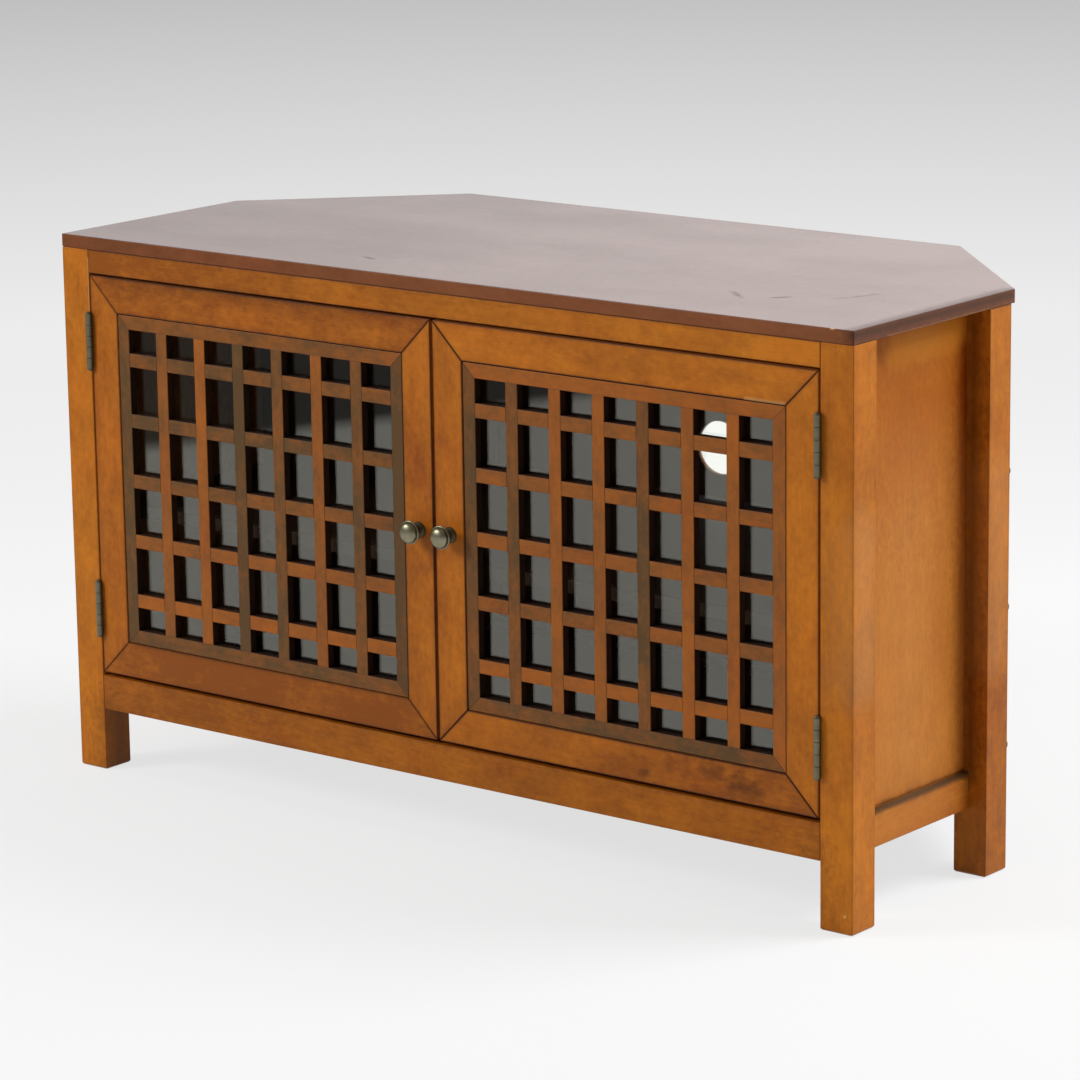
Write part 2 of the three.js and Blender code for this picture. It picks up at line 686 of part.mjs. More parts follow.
for (const [hand, side] of [["right", 1], ["left", -1]]) {
  // Everything in this group is made on the right, and the left-hand group mirrors it
  const half = new THREE.Group();
  half.scale.x = side;
  cabinet.add(half);

  const frontPostCuts = [
    ...["frontTop", "frontBottom", "sideFront"].map((name) => mortise(tenons[name])),
    ...Object.values(hinge.heights).map((height) => hingeRecess(height, 1)),
    ...pinHoles(intoFrontPost),
  ];
  const posts = {
    front_post: [postInner, 0, frontPostCuts],
    side_post: [postInner, sidePostFront, [mortise(tenons.sideRear)]],
    rear_post: [rearPostInner, rearPostFront, [mortise(tenons.rearBottom), ...pinHoles(intoRearPost)]],
  };
  for (const [name, [x, y, cuts]] of Object.entries(posts))
    addPiece(half, `${hand}_${name}`, postSolid(x, y, cuts), "frameWood", [x, y, 0]);

  addPiece(half, `${hand}_side_rail`, sideRailSolid(), "sideWood", [postInner, postSize, legHeight]);
  const sidePanel = boxSolid(sidePanelRanges());
  addPiece(half, `${hand}_side_panel`, sidePanel, "sideWood", [halfFront - sidePanelSetback, postSize, railTop]);
  const slantCorner = [halfFront, sideDepth, legHeight];
  addPiece(half, `${hand}_corner_panel`, slantPanelSolid(), "hiddenWood", slantCorner);
  addPiece(half, `${hand}_side_cleat`, sideCleatSolid(), "hiddenWood", [halfFront, sidePostRear, floorTop]);
  addPiece(half, `${hand}_rear_cleat`, rearCleatSolid(), "hiddenWood", [rearPostOuter, rearPostRear, floorTop]);
  const pinPlaces = { front: intoFrontPost, rear: intoRearPost };
  for (const [name, place] of Object.entries(pinPlaces)) {
    const pin = place(pinGeometry(), pinHeight);
    addPiece(half, `${hand}_${name}_shelf_pin`, pin, "zinc", [postInner, shelfFront, pinHeight]);
  }

  // The door hangs on its hinge axis, and all its pieces are placed from there
  const leaf = new THREE.Group();
  leaf.position.set(hinge.x, hinge.y, 0);
  leaf.userData.origin = leaf.position.clone();
  half.add(leaf);
  const members = doorMembers();
  for (const height of Object.values(hinge.heights))
    members.hinge_stile = members.hinge_stile.subtract(hingeRecess(height, -1));
  members.meeting_stile = members.meeting_stile.subtract(knobHole());
  const doorCorner = [door.outer, 0, door.bottom];
  for (const [name, member] of Object.entries(members))
    addPiece(leaf, `${hand}_door_${name}`, member, "doorWood", doorCorner);
  addPiece(leaf, `${hand}_lattice_uprights`, uprightsSolid(), "latticeWood", doorCorner);
  addPiece(leaf, `${hand}_lattice_crossbars`, crossbarsSolid(), "latticeWood", doorCorner);
  addPiece(leaf, `${hand}_glass`, boxSolid(glassRanges()), "glass", doorCorner);
  addPiece(leaf, `${hand}_glass_beads`, beadsSolid(), "doorWood", doorCorner);
  addPiece(leaf, `${hand}_knob`, knobGeometry(), "pewter", [knobX, 0, knobHeight]);
  addPiece(leaf, `${hand}_strike`, boxSolid(strikeRanges()), "zinc", [door.meeting, doorThickness, door.top]);

  for (const [name, height] of Object.entries(hinge.heights)) {
    const pinAt = [hinge.x, hinge.y, height];
    addPiece(half, `${hand}_${name}_hinge_post_leaf`, leafSolid(height, 1, 0), "hingeMetal", pinAt);
    addPiece(half, `${hand}_${name}_hinge_pin`, hingePinGeometry(height), "hingeMetal", pinAt);
    addPiece(leaf, `${hand}_${name}_hinge_door_leaf`, leafSolid(height, -1, 1), "hingeMetal", pinAt);
  }
}

export default cabinet;
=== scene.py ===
import json
import math

import bmesh
import bpy
import numpy as np
from mathutils import Euler, Matrix, Vector

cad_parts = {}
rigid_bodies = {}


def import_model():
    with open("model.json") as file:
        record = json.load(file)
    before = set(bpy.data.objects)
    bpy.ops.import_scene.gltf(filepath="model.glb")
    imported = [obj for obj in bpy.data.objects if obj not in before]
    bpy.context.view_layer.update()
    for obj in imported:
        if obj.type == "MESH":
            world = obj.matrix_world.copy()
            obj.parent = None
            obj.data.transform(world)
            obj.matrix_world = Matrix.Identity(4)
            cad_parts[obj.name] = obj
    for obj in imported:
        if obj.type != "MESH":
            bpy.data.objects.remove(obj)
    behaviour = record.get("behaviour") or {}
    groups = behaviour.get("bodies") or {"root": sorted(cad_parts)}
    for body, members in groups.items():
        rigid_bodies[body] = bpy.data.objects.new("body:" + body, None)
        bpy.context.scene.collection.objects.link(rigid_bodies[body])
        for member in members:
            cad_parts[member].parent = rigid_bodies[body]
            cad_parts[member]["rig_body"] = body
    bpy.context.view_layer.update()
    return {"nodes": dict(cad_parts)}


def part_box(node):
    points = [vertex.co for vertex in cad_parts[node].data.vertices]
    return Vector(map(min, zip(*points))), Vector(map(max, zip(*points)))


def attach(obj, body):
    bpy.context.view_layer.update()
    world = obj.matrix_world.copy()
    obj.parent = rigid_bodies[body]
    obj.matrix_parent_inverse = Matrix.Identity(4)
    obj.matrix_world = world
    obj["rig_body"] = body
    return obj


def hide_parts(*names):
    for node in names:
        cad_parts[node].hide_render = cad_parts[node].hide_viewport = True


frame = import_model()
nodes = frame["nodes"]
chance = np.random.default_rng(11)  # every random draw comes from here, in the order of the pieces

mm = 0.001
weld = 0.002 * mm  # corners nearer than this are one
shortEdge = 2 * mm  # the small pieces' edges under this stay sharp
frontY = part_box("right_front_post")[0].y  # the plane of the posts and doors
hands = {"right": 1, "left": -1}
alongX, alongY, alongZ = (1, 0, 0), (0, 1, 0), (0, 0, 1)
print("frame loaded:", len(nodes), "nodes")


# Colours are written as on screen, 0 to 255, and used as light
def colour(red, green, blue):
    shown = np.array([red, green, blue]) / 255
    light = np.where(shown <= 0.04045, shown / 12.92, ((shown + 0.055) / 1.055) ** 2.4)
    return (*light.tolist(), 1.0)


def grey(value):
    return (value, value, value, 1.0)


# Places are written in mm: across, behind the plane of the doors, and up
def at(x, y, z):
    return np.array([x * mm, frontY + y * mm, z * mm])


# Camera, solved from the cabinet's straight edges in the picture
viewpoint = {
    "right": 3.0328,  # of the gap between the doors
    "before": 3.5926,  # the plane of the doors
    "up": 1.4382,
    "turn": 38.766,  # degrees
    "tilt": -13.078,
    "roll": -0.807,
    "lens": 147.02,
    "sensor": 36,  # mm wide
    "farthest": 200,
}
lens = bpy.data.cameras.new("camera")
lens.lens = viewpoint["lens"]
lens.sensor_width = viewpoint["sensor"]
lens.clip_end = viewpoint["farthest"]
camera = bpy.data.objects.new("camera", lens)
bpy.context.scene.collection.objects.link(camera)
aim = Euler((math.radians(90 + viewpoint["tilt"]), 0, math.radians(viewpoint["turn"]))).to_matrix()
aim = aim @ Matrix.Rotation(math.radians(viewpoint["roll"]), 3, "Z")
place = Vector((viewpoint["right"], frontY - viewpoint["before"], viewpoint["up"]))
camera.matrix_world = Matrix.Translation(place) @ aim.to_4x4()
bpy.context.scene.camera = camera
bpy.context.scene.view_settings.view_transform = "Standard"


# A socket of a node tree. Arithmetic on wires adds the Math nodes that work it out.
class Wire:
    def __init__(self, sheet, socket):
        self.sheet = sheet
        self.socket = socket

    def maths(self, operation, *values):
        return self.sheet.add("ShaderNodeMath", {"operation": operation}, dict(enumerate(values)))

    def __add__(self, other):
        return self.maths("ADD", self, other)

    def __sub__(self, other):
        return self.maths("SUBTRACT", self, other)

    def __rsub__(self, other):
        return self.maths("SUBTRACT", other, self)

    def __mul__(self, other):
        return self.maths("MULTIPLY", self, other)

    def __truediv__(self, other):
        return self.maths("DIVIDE", self, other)

    def __pow__(self, other):
        return self.maths("POWER", self, other)

    __radd__ = __add__
    __rmul__ = __mul__

    def least(self, other):
        return self.maths("MINIMUM", self, other)

    def most(self, other):
        return self.maths("MAXIMUM", self, other)

    def held(self):  # between 0 and 1
        return self.sheet.add("ShaderNodeClamp", {}, {0: self})


# One material's or the world's nodes
class Sheet:
    def __init__(self, owner):
        owner.use_nodes = True
        self.owner = owner
        self.tree = owner.node_tree
        self.tree.nodes.clear()

    def add(self, kind, settings=None, values=None, output=0):
        node = self.tree.nodes.new(kind)
        for key, value in (settings or {}).items():
            setattr(node, key, value)
        for key, value in (values or {}).items():
            if isinstance(value, Wire):
                self.tree.links.new(value.socket, node.inputs[key])
            else:
                node.inputs[key].default_value = value
        return Wire(self, node.outputs[output]) if len(node.outputs) else node

    def mix(self, factor, first, second):
        settings = {"data_type": "RGBA", "clamp_factor": True}
        return self.add("ShaderNodeMix", settings, {0: factor, 6: first, 7: second}, 2)

    def vector(self, operation, *values, output=0):
        return self.add("ShaderNodeVectorMath", {"operation": operation}, dict(enumerate(values)), output)

    def attribute(self, name, output=1):
        return self.add("ShaderNodeAttribute", {"attribute_name": name}, {}, output)

    def place(self):
        return self.add("ShaderNodeTexCoord", {}, {}, "Object")

    def rays(self, *names):
        outputs = self.add("ShaderNodeLightPath").socket.node.outputs
        return [Wire(self, outputs[name]) for name in names]

    def split(self, wire):
        parts = self.add("ShaderNodeSeparateXYZ", {}, {0: wire}).socket.node
        return [Wire(self, socket) for socket in parts.outputs]

    def noise(self, where, scale, detail=2.0, roughness=0.5):
        stretched = self.vector("MULTIPLY", where, scale)
        values = {"Vector": stretched, "Scale": 1.0, "Detail": detail, "Roughness": roughness}
        return self.add("ShaderNodeTexNoise", {}, values)

    def bump(self, height, strength, distance):
        values = {"Height": height, "Strength": strength, "Distance": distance}
        return self.add("ShaderNodeBump", {}, values)

    def blend(self, factor, first, second):
        return self.add("ShaderNodeMixShader", {}, {0: factor, 1: first, 2: second})

    def principled(self, values):
        return self.add("ShaderNodeBsdfPrincipled", {}, values)

    def surface(self, shader):
        self.add("ShaderNodeOutputMaterial", {}, {"Surface": shader})
        return self.owner


def newSheet(name):
    return Sheet(bpy.data.materials.new(name))


# Stage: a pale floor that fades with distance, the room's light and three lamps
stage = {
    "floorHalf": 40.0,  # metres from its middle to its sides
    "floorColour": 0.62,  # to the lamps
    "white": 1.03,  # as seen beside the cabinet
    "whiteReach": 1.2,  # metres from the cabinet
    "fall": 0.107,  # how fast the white fades beyond it
    "fallPower": 0.9,
    "leastWhite": 0.5,
    "shadowShare": 0.3,  # how much of the seen floor takes light and shadow
    "shadowFade": 0.5,  # how much less each metre further out
    "mirrorTowards": (-0.92, -0.39, 0),  # the way in which glass and varnish show the floor's end
    "mirrorReach": 2.19,  # metres that way
    "mirrorEdge": 0.1,
    "mirrorFar": 0.13,
    "roomLight": 0.3,
    "roomSeen": 0.5,
    "roomMirrored": 0.2,
    "roomBehind": 1.0,
    "behindRate": 5,  # how fast it turns pale behind the cabinet
    "leftFrom": 0.67,  # where the room begins to dim, metres to the left for each metre behind
    "leftRate": 4.3,
    "leftDim": 0.2,
}
lamps = {
    "frontLamp": {"place": (-2.4, -2.8, 2.1), "aim": (0, 0, 0.35), "size": (1.2, 1.2), "power": 86},
    "sideLamp": {"place": (2.2, 1.6, 3.1), "aim": (0.1, 0, 0.3), "size": (1.9, 1.7), "power": 150},
    "topLamp": {"place": (0.2, 0.2, 3.4), "aim": (0, 0, 0.5), "size": (3.0, 3.0), "power": 14},
}


# White falls by e to the power of minus the fall times a power of the distance beyond the white's reach
def paleFloor():
    half = stage["floorHalf"]
    corners = [(-half, -half, 0), (half, -half, 0), (half, half, 0), (-half, half, 0)]
    mesh = bpy.data.meshes.new("floor")
    mesh.from_pydata(corners, [], [(0, 1, 2, 3)])
    floor = bpy.data.objects.new("floor", mesh)
    bpy.context.scene.collection.objects.link(floor)
    sheet = newSheet("pale floor")
    place = sheet.place()
    far = sheet.vector("LENGTH", place, output=1)
    beyond = (far - stage["whiteReach"]).most(0)
    fade = beyond ** stage["fallPower"] * -stage["fall"]
    white = fade.maths("EXPONENT", fade).most(stage["leastWhite"])
    aside = sheet.vector("DOT_PRODUCT", place, stage["mirrorTowards"], output=1)
    dim = ((aside - stage["mirrorReach"]) / stage["mirrorEdge"]).held()
    isCamera, isGlossy, isThrough = sheet.rays("Is Camera Ray", "Is Glossy Ray", "Is Transmission Ray")
    seen = sheet.mix(white, grey(0), grey(stage["white"]))
    mirrored = sheet.mix(dim, grey(stage["white"]), grey(stage["mirrorFar"]))
    shown = sheet.add("ShaderNodeEmission", {}, {"Color": sheet.mix(isGlossy, seen, mirrored)})
    lit = sheet.add("ShaderNodeBsdfDiffuse", {}, {"Color": grey(stage["floorColour"])})
    share = (1 - beyond * stage["shadowFade"]).held() * stage["shadowShare"]
    factor = (isCamera.most(isThrough) * (1 - share)).most(isGlossy)
    mesh.materials.append(sheet.surface(sheet.blend(factor, lit, shown)))
    mesh.materials[0].cycles.emission_sampling = "NONE"


# What varnish mirrors is pale behind the cabinet, a little less so to the left, and dim elsewhere
def roomLight():
    world = bpy.data.worlds.new("room")
    bpy.context.scene.world = world
    sheet = Sheet(world)
    x, y, _ = sheet.split(sheet.add("ShaderNodeTexCoord", {}, {}, "Generated"))
    left = (x / y.most(0.01) * -1 - stage["leftFrom"]) * stage["leftRate"]
    behind = (y * stage["behindRate"]).held() * (1 - left.held() * stage["leftDim"])
    isCamera, isGlossy, isThrough = sheet.rays("Is Camera Ray", "Is Glossy Ray", "Is Transmission Ray")
    mirrored = sheet.mix(behind, grey(stage["roomMirrored"]), grey(stage["roomBehind"]))
    lit = sheet.mix(isGlossy, grey(stage["roomLight"]), mirrored)
    seen = sheet.mix(isCamera.most(isThrough), lit, grey(stage["roomSeen"]))
    shown = sheet.add("ShaderNodeBackground", {}, {"Color": seen, "Strength": 1.0})
    sheet.add("ShaderNodeOutputWorld", {}, {"Surface": shown})


def hangLamp(name, look):
    lamp = bpy.data.lights.new(name, "AREA")
    lamp.shape = "RECTANGLE"
    lamp.size, lamp.size_y = look["size"]
    lamp.energy = look["power"]
    hung = bpy.data.objects.new(name, lamp)
    bpy.context.scene.collection.objects.link(hung)
    start = Vector(look["place"])
    towards = Vector(look["aim"]) - start
    hung.matrix_world = Matrix.Translation(start) @ towards.to_track_quat("-Z", "Y").to_matrix().to_4x4()


paleFloor()
roomLight()
for name, look in lamps.items():
    hangLamp(name, look)
print("stage set")

# Wood finishes. Clouds, blotches, flecks, streaks, pores and red patches are in marks per metre: along,
# across and through the board. The shares say how much each of them changes the tone.
woodDefaults = {
    "specular": 0.15,
    "roughness": 0.42,
    "coat": 0.0,
    "coatRoughness": 0.3,
    "cloud": (5, 9, 9),
    "cloudShare": 0.9,
    "blotch": (26, 44, 44),
    "blotchShare": 1.0,
    "fleck": (110, 170, 170),
    "fleckShare": 0.8,
    "streak": (14, 640, 640),
    "streakShare": 0.35,
    "pore": (150, 2300, 2300),
    "poreLeast": 0.62,  # less makes more pores
    "poreRate": 6,
    "redPatch": (9, 22, 22),
    "redLeast": 0.48,
    "redRate": 3,
    "redTint": (1.01, 0.9, 0.86),
    # the colour of real wear, also used for painted sheen and highlights
    "wearAndSheen": colour(226, 178, 120),
    # the colour of painted shadow
    "paintedShade": colour(54, 27, 11),
    # the colour of painted light
    "paintedLight": colour(234, 148, 48),
    "arris": 0.5,
    "arrisWidth": 1.3 * mm,
    "halo": 0.0,
    "haloWidth": 5 * mm,
}
woods = {
    "frame wood": {
        "light": colour(202, 120, 26),
        "deep": colour(142, 77, 15),
        "stain": colour(62, 24, 6),
        "streakShare": 0.5,
        "arris": 0.6,
        "halo": 0.12,
        "haloWidth": 7 * mm,
    },
    "door wood": {
        "light": colour(202, 118, 26),
        "deep": colour(140, 75, 18),
        "stain": colour(48, 18, 6),
        "arris": 0.9,
        "arrisWidth": 2.1 * mm,
        "halo": 0.22,
        "haloWidth": 7 * mm,
    },
    "side wood": {
        "light": colour(199, 125, 46),
        "deep": colour(165, 92, 23),
        "streakShare": 0.65,
        # its stain colour is also the tint of the painted shade on the side panels and rails
        "stain": colour(132, 46, 0),
        "arris": 0.25,
        "halo": 0.2,
        "haloWidth": 20 * mm,
        "specular": 0.06,
        "roughness": 0.4,
    },
    "lattice wood": {
        "light": colour(166, 93, 30),
        "deep": colour(94, 68, 38),
        "stain": colour(36, 18, 10),
        "arris": 0.14,
        # painted shade: the strips' sides inside the openings go nearly black
        "shadedSides": 0.94,
    },
    "top wood": {
        "light": colour(112, 66, 48),
        "deep": colour(84, 48, 37),
        "stain": colour(50, 28, 18),
        "edgeLight": colour(138, 82, 48),
        "edgeDeep": colour(112, 64, 36),
        "arris": 0.2,
        "roughness": 0.34,
        "coat": 0.9,
        "coatRoughness": 0.2,
    },
    # a darker copy of the wood for the boards inside the cabinet: painted shade
    "shaded inside wood": {
        "light": colour(71, 46, 29),
        "deep": colour(47, 30, 19),
        "stain": colour(24, 15, 9),
        "arris": 0.3,
        "roughness": 0.62,
    },
    "back board": {
        "light": colour(140, 96, 58),
        "deep": colour(110, 70, 41),
        "stain": colour(52, 32, 20),
        "arris": 0.3,
        "roughness": 0.65,
        # painted shade: the inner face of the back and corner panels is darkened
        "shadedInside": 0.78,
    },
}


# The same marks on the right and, mirrored, on the left
def bothSides(*lines):
    return [
        ((x1 * side, *first), (x2 * side, *last), *rest)
        for side in hands.values()
        for (x1, *first), (x2, *last), *rest in lines
    ]


# Marks by the ends of a line, its half width and its strength: stainsAndShade and paintedShade ones are dark,
# paintedLight and wearAndSheen ones pale. stainsAndShade holds real stains and painted shade, wearAndSheen
# real wear and painted sheen
marks = {
    "door wood": {
        "stainsAndShade": [
            ((284, 0, 131), (290, 0, 134), 6, 0.5),
            ((318, 0, 140), (319, 0, 155), 5, 0.3),
            ((341, 0, 136), (342, 0, 156), 6, 0.25),
            ((366, 0, 147), (384, 0, 147), 10, 0.5),
            ((404, 0, 138), (432, 0, 135), 11, 0.6),
            ((408, 0, 152), (416, 0, 156), 7, 0.3),
            ((463, 0, 143), (466, 0, 146), 5, 0.3),
            ((-480, 0, 592), (-50, 0, 592), 15, 0.3),
        ],
        # a pale line on the lower edge of the right door's top rail near its mitre: wear and a painted
        # highlight
        "wearAndSheen": [((420, 0, 553.4), (468, 0, 552.8), 2.4, 0.35)],
    },
    "side wood": {
        # painted shade: the upper side panels darken under the top's overhang, and a band beside the side
        # posts darkens
        "stainsAndShade": bothSides(
            ((526.5, 130, 540), (526.5, 240, 540), 140, 0.43),
            ((526.5, 256, 130), (526.5, 256, 590), 26, 0.5),
        ),
        # painted shadow: a dark band along the side rails' top, in the corner between rail and panel
        "paintedShade": bothSides(((531, 35, 115), (531, 255, 115), 5.5, 1.4)),
        # painted light: a pale band just under the top that lifts the shadow of its overhang
        "paintedLight": bothSides(((526.5, 118, 597), (526.5, 235, 597), 20, 0.6)),
        # painted sheen: a pale patch over the lower middle of the side panels
        "wearAndSheen": bothSides(((526.5, 140, 160), (526.5, 140, 400), 130, 0.13)),
    },
    "frame wood": {
        # painted shade: on the side posts' front faces beside the side panels, and the front posts' inner
        # faces under the cabinet
        "stainsAndShade": bothSides(
            ((535, 251.3, 110), (535, 251.3, 610), 13, 0.6),
            ((514, 22, 5), (514, 22, 80), 26, 0.5),
        ),
        "wearAndSheen": [
            ((545, 0, 20), (545.6, 0, 21), 1.6, 0.8),
            # painted sheen: pale patches on the outer side faces of the front and side posts
            ((555, 20, 270), (555, 20, 420), 34, 0.17),
            ((555, 272, 250), (555, 272, 440), 34, 0.13),
            ((-514.4, 0, 540), (-514.4, 0, 612), 1.3, 0.5),
        ],
    },
    "top wood": {
        "stainsAndShade": [
            ((320, 117, 637.5), (337, 102, 637.5), 4, 0.5),
            ((337, 102, 637.5), (349, 94, 637.5), 3, 0.35),
            ((377, 112, 637.5), (386, 125, 637.5), 3.5, 0.8),
            ((434, 143, 637.5), (445, 165, 637.5), 2.5, 0.4),
            ((445, 165, 637.5), (454, 191, 637.5), 3.5, 0.45),
            ((-151, 70, 637.5), (-138, 66, 637.5), 3.5, 0.6),
            ((555, -2, 632), (555, 292, 632), 14, 0.8),
        ],
        "wearAndSheen": [
            ((527, 0.5, 637.4), (530, 0.5, 637.4), 1.7, 0.9),
            # a pale line along the lower arris of the top's right side edge: wear and a painted highlight
            ((555, 60, 623.2), (555, 250, 623.2), 1.0, 0.15),
        ],
    },
}


# How far a place is from the line between two ends, in half widths
def markReach(sheet, where, start, end, halfWidth):
    start, end = at(*start), at(*end)
    span = end - start
    away = sheet.vector("SUBTRACT", where, tuple(start))
    share = sheet.vector("DOT_PRODUCT", away, tuple(span / (span @ span)), output=1).held()
    nearest = sheet.add("ShaderNodeVectorMath", {"operation": "SCALE"}, {0: tuple(span), 3: share})
    away = sheet.vector("SUBTRACT", away, nearest)
    return sheet.vector("LENGTH", away, output=1) / (halfWidth * mm)


# 0 up to a start and 1 from a width beyond it on, both in mm
def rise(gap, start, width):
    return ((gap - start * mm) / (width * mm)).held()


# Every board carries its own measures as attributes, so one finish suits boards that lie any way: grain is
# the place along, across and through it, and lowGap and highGap are how far its six sides are
def woodFinish(name):
    look = {**woodDefaults, **woods[name]}
    sheet = newSheet(name)
    grain = sheet.attribute("grain")
    tone = sheet.attribute("tone", 2)
    line = sheet.attribute("line", 2)
    low = sheet.split(sheet.attribute("lowGap"))
    high = sheet.split(sheet.attribute("highGap"))
    along, across, through = (a.least(b) for a, b in zip(low, high))

    cloud = sheet.noise(grain, look["cloud"], 2.0) - 0.5
    blotch = sheet.noise(grain, look["blotch"], 3.0, 0.6) - 0.5
    fleck = sheet.noise(grain, look["fleck"], 3.0, 0.65) - 0.5
    streak = sheet.noise(grain, look["streak"], 2.0, 0.6) - 0.5
    pore = ((sheet.noise(grain, look["pore"], 1.0) - look["poreLeast"]) * look["poreRate"]).held()
    pale = 0.5 + cloud * look["cloudShare"] + blotch * look["blotchShare"] + fleck * look["fleckShare"]
    pale = (pale + streak * look["streakShare"] + tone).held()
    wood = sheet.mix(pale, look["deep"], look["light"])
    below = rise(high[2], 0, 0.9)  # 0 on the upper or outer face
    if "edgeLight" in look:
        wood = sheet.mix(below, wood, sheet.mix(pale, look["edgeDeep"], look["edgeLight"]))
    reddish = ((sheet.noise(grain, look["redPatch"], 2.0) - look["redLeast"]) * look["redRate"]).held()
    wood = sheet.mix(reddish, wood, sheet.vector("MULTIPLY", wood, look["redTint"]))

    # The distance to the nearest corner of the board is the middle one of the three distances
    edge = along.least(across).most(along.most(across).least(through))
    ragged = 0.7 + (cloud + 0.5) * 0.6  # makes the halo's reach vary
    shade = (1 - edge / look["arrisWidth"]).held() * line * look["arris"] + pore * 0.1
    if look["halo"]:
        shade = shade + ((1 - edge / look["haloWidth"] * ragged).held() ** 2) * look["halo"]
    rough = look["roughness"] + blotch * 0.12 + pore * 0.1
    # Painted shade: the strips' sides, between their front and back faces, are darkened nearly to the stain
    # colour and made rougher
    if "shadedSides" in look:
        side = rise(low[2], 0.3, 0.8) * rise(high[2], 0.06, 0.3)
        shade = shade + side * look["shadedSides"]
        rough = rough + side * 0.5
    # Painted shade: faces more than 2 mm in from the outer face, inside the cabinet, are darkened
    if "shadedInside" in look:
        shade = shade + rise(high[2], 2, 1) * look["shadedInside"]
    where = sheet.place()
    drawn = marks.get(name, {})
    # stainsAndShade marks darken towards the stain colour: real stains and scratches on doors and top,
    # painted shade on side panels and posts
    for start, end, halfWidth, strength in drawn.get("stainsAndShade", []):
        reach = markReach(sheet, where, start, end, halfWidth)
        shade = shade + (1 - reach * (0.75 + fleck)).held() * strength
    wood = sheet.mix(shade.held(), wood, look["stain"])
    for kind in ("paintedShade", "paintedLight", "wearAndSheen"):
        for start, end, halfWidth, strength in drawn.get(kind, []):
            reach = markReach(sheet, where, start, end, halfWidth)
            wood = sheet.mix((1 - reach * (0.8 + blotch)).held() * strength, wood, look[kind])

    values = {
        "Base Color": wood,
        "Roughness": rough.held(),
        "Specular IOR Level": look["specular"],
        "Coat Roughness": look["coatRoughness"],
        "Normal": sheet.bump(streak * 0.5 + fleck * 0.4 - pore * 0.5, 0.25, 0.3 * mm),
    }
    if look["coat"]:
        dull = shade.held() * 1.1 + (0.1 - cloud * 0.4 - blotch * 0.25 - fleck * 0.25 - tone * 0.4).held()
        values["Coat Weight"] = ((1 - below) * (1 - dull)).held() * look["coat"]
    return sheet.surface(sheet.principled(values))


finishes = {name: woodFinish(name) for name in woods}
print("wood finishes made")


# Metal and plastic. patinaAndShade is an attribute of the turned pieces: 1 in their grooves and dents; on the
# knob's neck and base it is painted shade.
metals = {
    "pewter": {"bright": colour(138, 133, 110), "dull": colour(106, 101, 80), "rough": 0.37, "metal": 1},
    "hinge metal": {"bright": colour(122, 118, 98), "dull": colour(98, 94, 76), "rough": 0.5, "metal": 0.85},
    "zinc": {"bright": colour(196, 197, 194), "dull": colour(150, 150, 146), "rough": 0.35, "metal": 1},
    "screw steel": {"bright": colour(120, 108, 84), "dull": colour(66, 56, 40), "rough": 0.42, "metal": 0.9},
    "catch plastic": {"bright": colour(92, 58, 34), "dull": colour(78, 48, 28), "rough": 0.5, "metal": 0},
}
metalMarks = {
    "cloud": (140, 140, 140),  # per metre
    "speck": (1500, 1500, 1500),
    "patinaAndShade": (0.2, 0.17, 0.12),  # shares of the dull colour
}


def metalFinish(name):
    look = metals[name]
    sheet = newSheet(name)
    where = sheet.place()
    patinaAndShade = sheet.attribute("patinaAndShade", 2)
    cloud = sheet.noise(where, metalMarks["cloud"], 3.0, 0.6)
    speck = sheet.noise(where, metalMarks["speck"], 2.0)
    wearAndSheen = ((cloud - 0.5) * 1.3 + (speck - 0.5) * 0.5 + 0.55).held()
    metal = sheet.mix(wearAndSheen, look["dull"], look["bright"])
    dark = sheet.vector("MULTIPLY", look["dull"][:3], metalMarks["patinaAndShade"])
    values = {
        "Base Color": sheet.mix(patinaAndShade.held(), metal, dark),
        "Roughness": (look["rough"] + (0.55 - wearAndSheen) * 0.15 + patinaAndShade * 0.25).held(),
        "Metallic": look["metal"],
        "Normal": sheet.bump(cloud + speck * 0.5, 0.1, 0.12 * mm),
    }
    return sheet.surface(sheet.principled(values))


for name in metals:
    finishes[name] = metalFinish(name)


glassLook = {
    "tint": (0.9, 0.92, 0.86, 1.0),
    "mirrorTint": (0.82, 0.8, 0.72, 1.0),
    "lampTint": (0.8, 0.85, 0.85, 1.0),
    "index": 1.68,
    "roughness": 0.012,
    "dust": (14, 14, 14),  # per metre
}


# Clear glass with a faint haze of dust. Lamps shine through it on to what is behind.
def glassFinish():
    sheet = newSheet("glass")
    haze = sheet.noise(sheet.place(), glassLook["dust"], 3.0, 0.6)
    values = {
        "Base Color": glassLook["tint"],
        "Roughness": glassLook["roughness"] + haze * glassLook["roughness"],
        "IOR": glassLook["index"],
        "Specular Tint": glassLook["mirrorTint"],
        "Transmission Weight": 1.0,
    }
    glass = sheet.principled(values)
    isShadow, isDiffuse = sheet.rays("Is Shadow Ray", "Is Diffuse Ray")
    clear = sheet.add("ShaderNodeBsdfTransparent", {}, {"Color": glassLook["lampTint"]})
    return sheet.surface(sheet.blend(isShadow.most(isDiffuse), glass, clear))


finishes["glass"] = glassFinish()
print("metal and glass finishes made")


# Boards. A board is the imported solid's mesh with its corners eased and its own measures.
def bmeshToMesh(shape, name):
    mesh = bpy.data.meshes.new(name)
    shape.to_mesh(mesh)
    shape.free()
    return mesh


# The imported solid's triangles, joined into the flat faces that they make
def joinedCopy(node):
    shape = bmesh.new()
    shape.from_mesh(nodes[node].data)
    bmesh.ops.remove_doubles(shape, verts=shape.verts, dist=weld)
    flat = math.radians(0.5)
    bmesh.ops.dissolve_limit(shape, angle_limit=flat, verts=shape.verts, edges=shape.edges)
    return shape


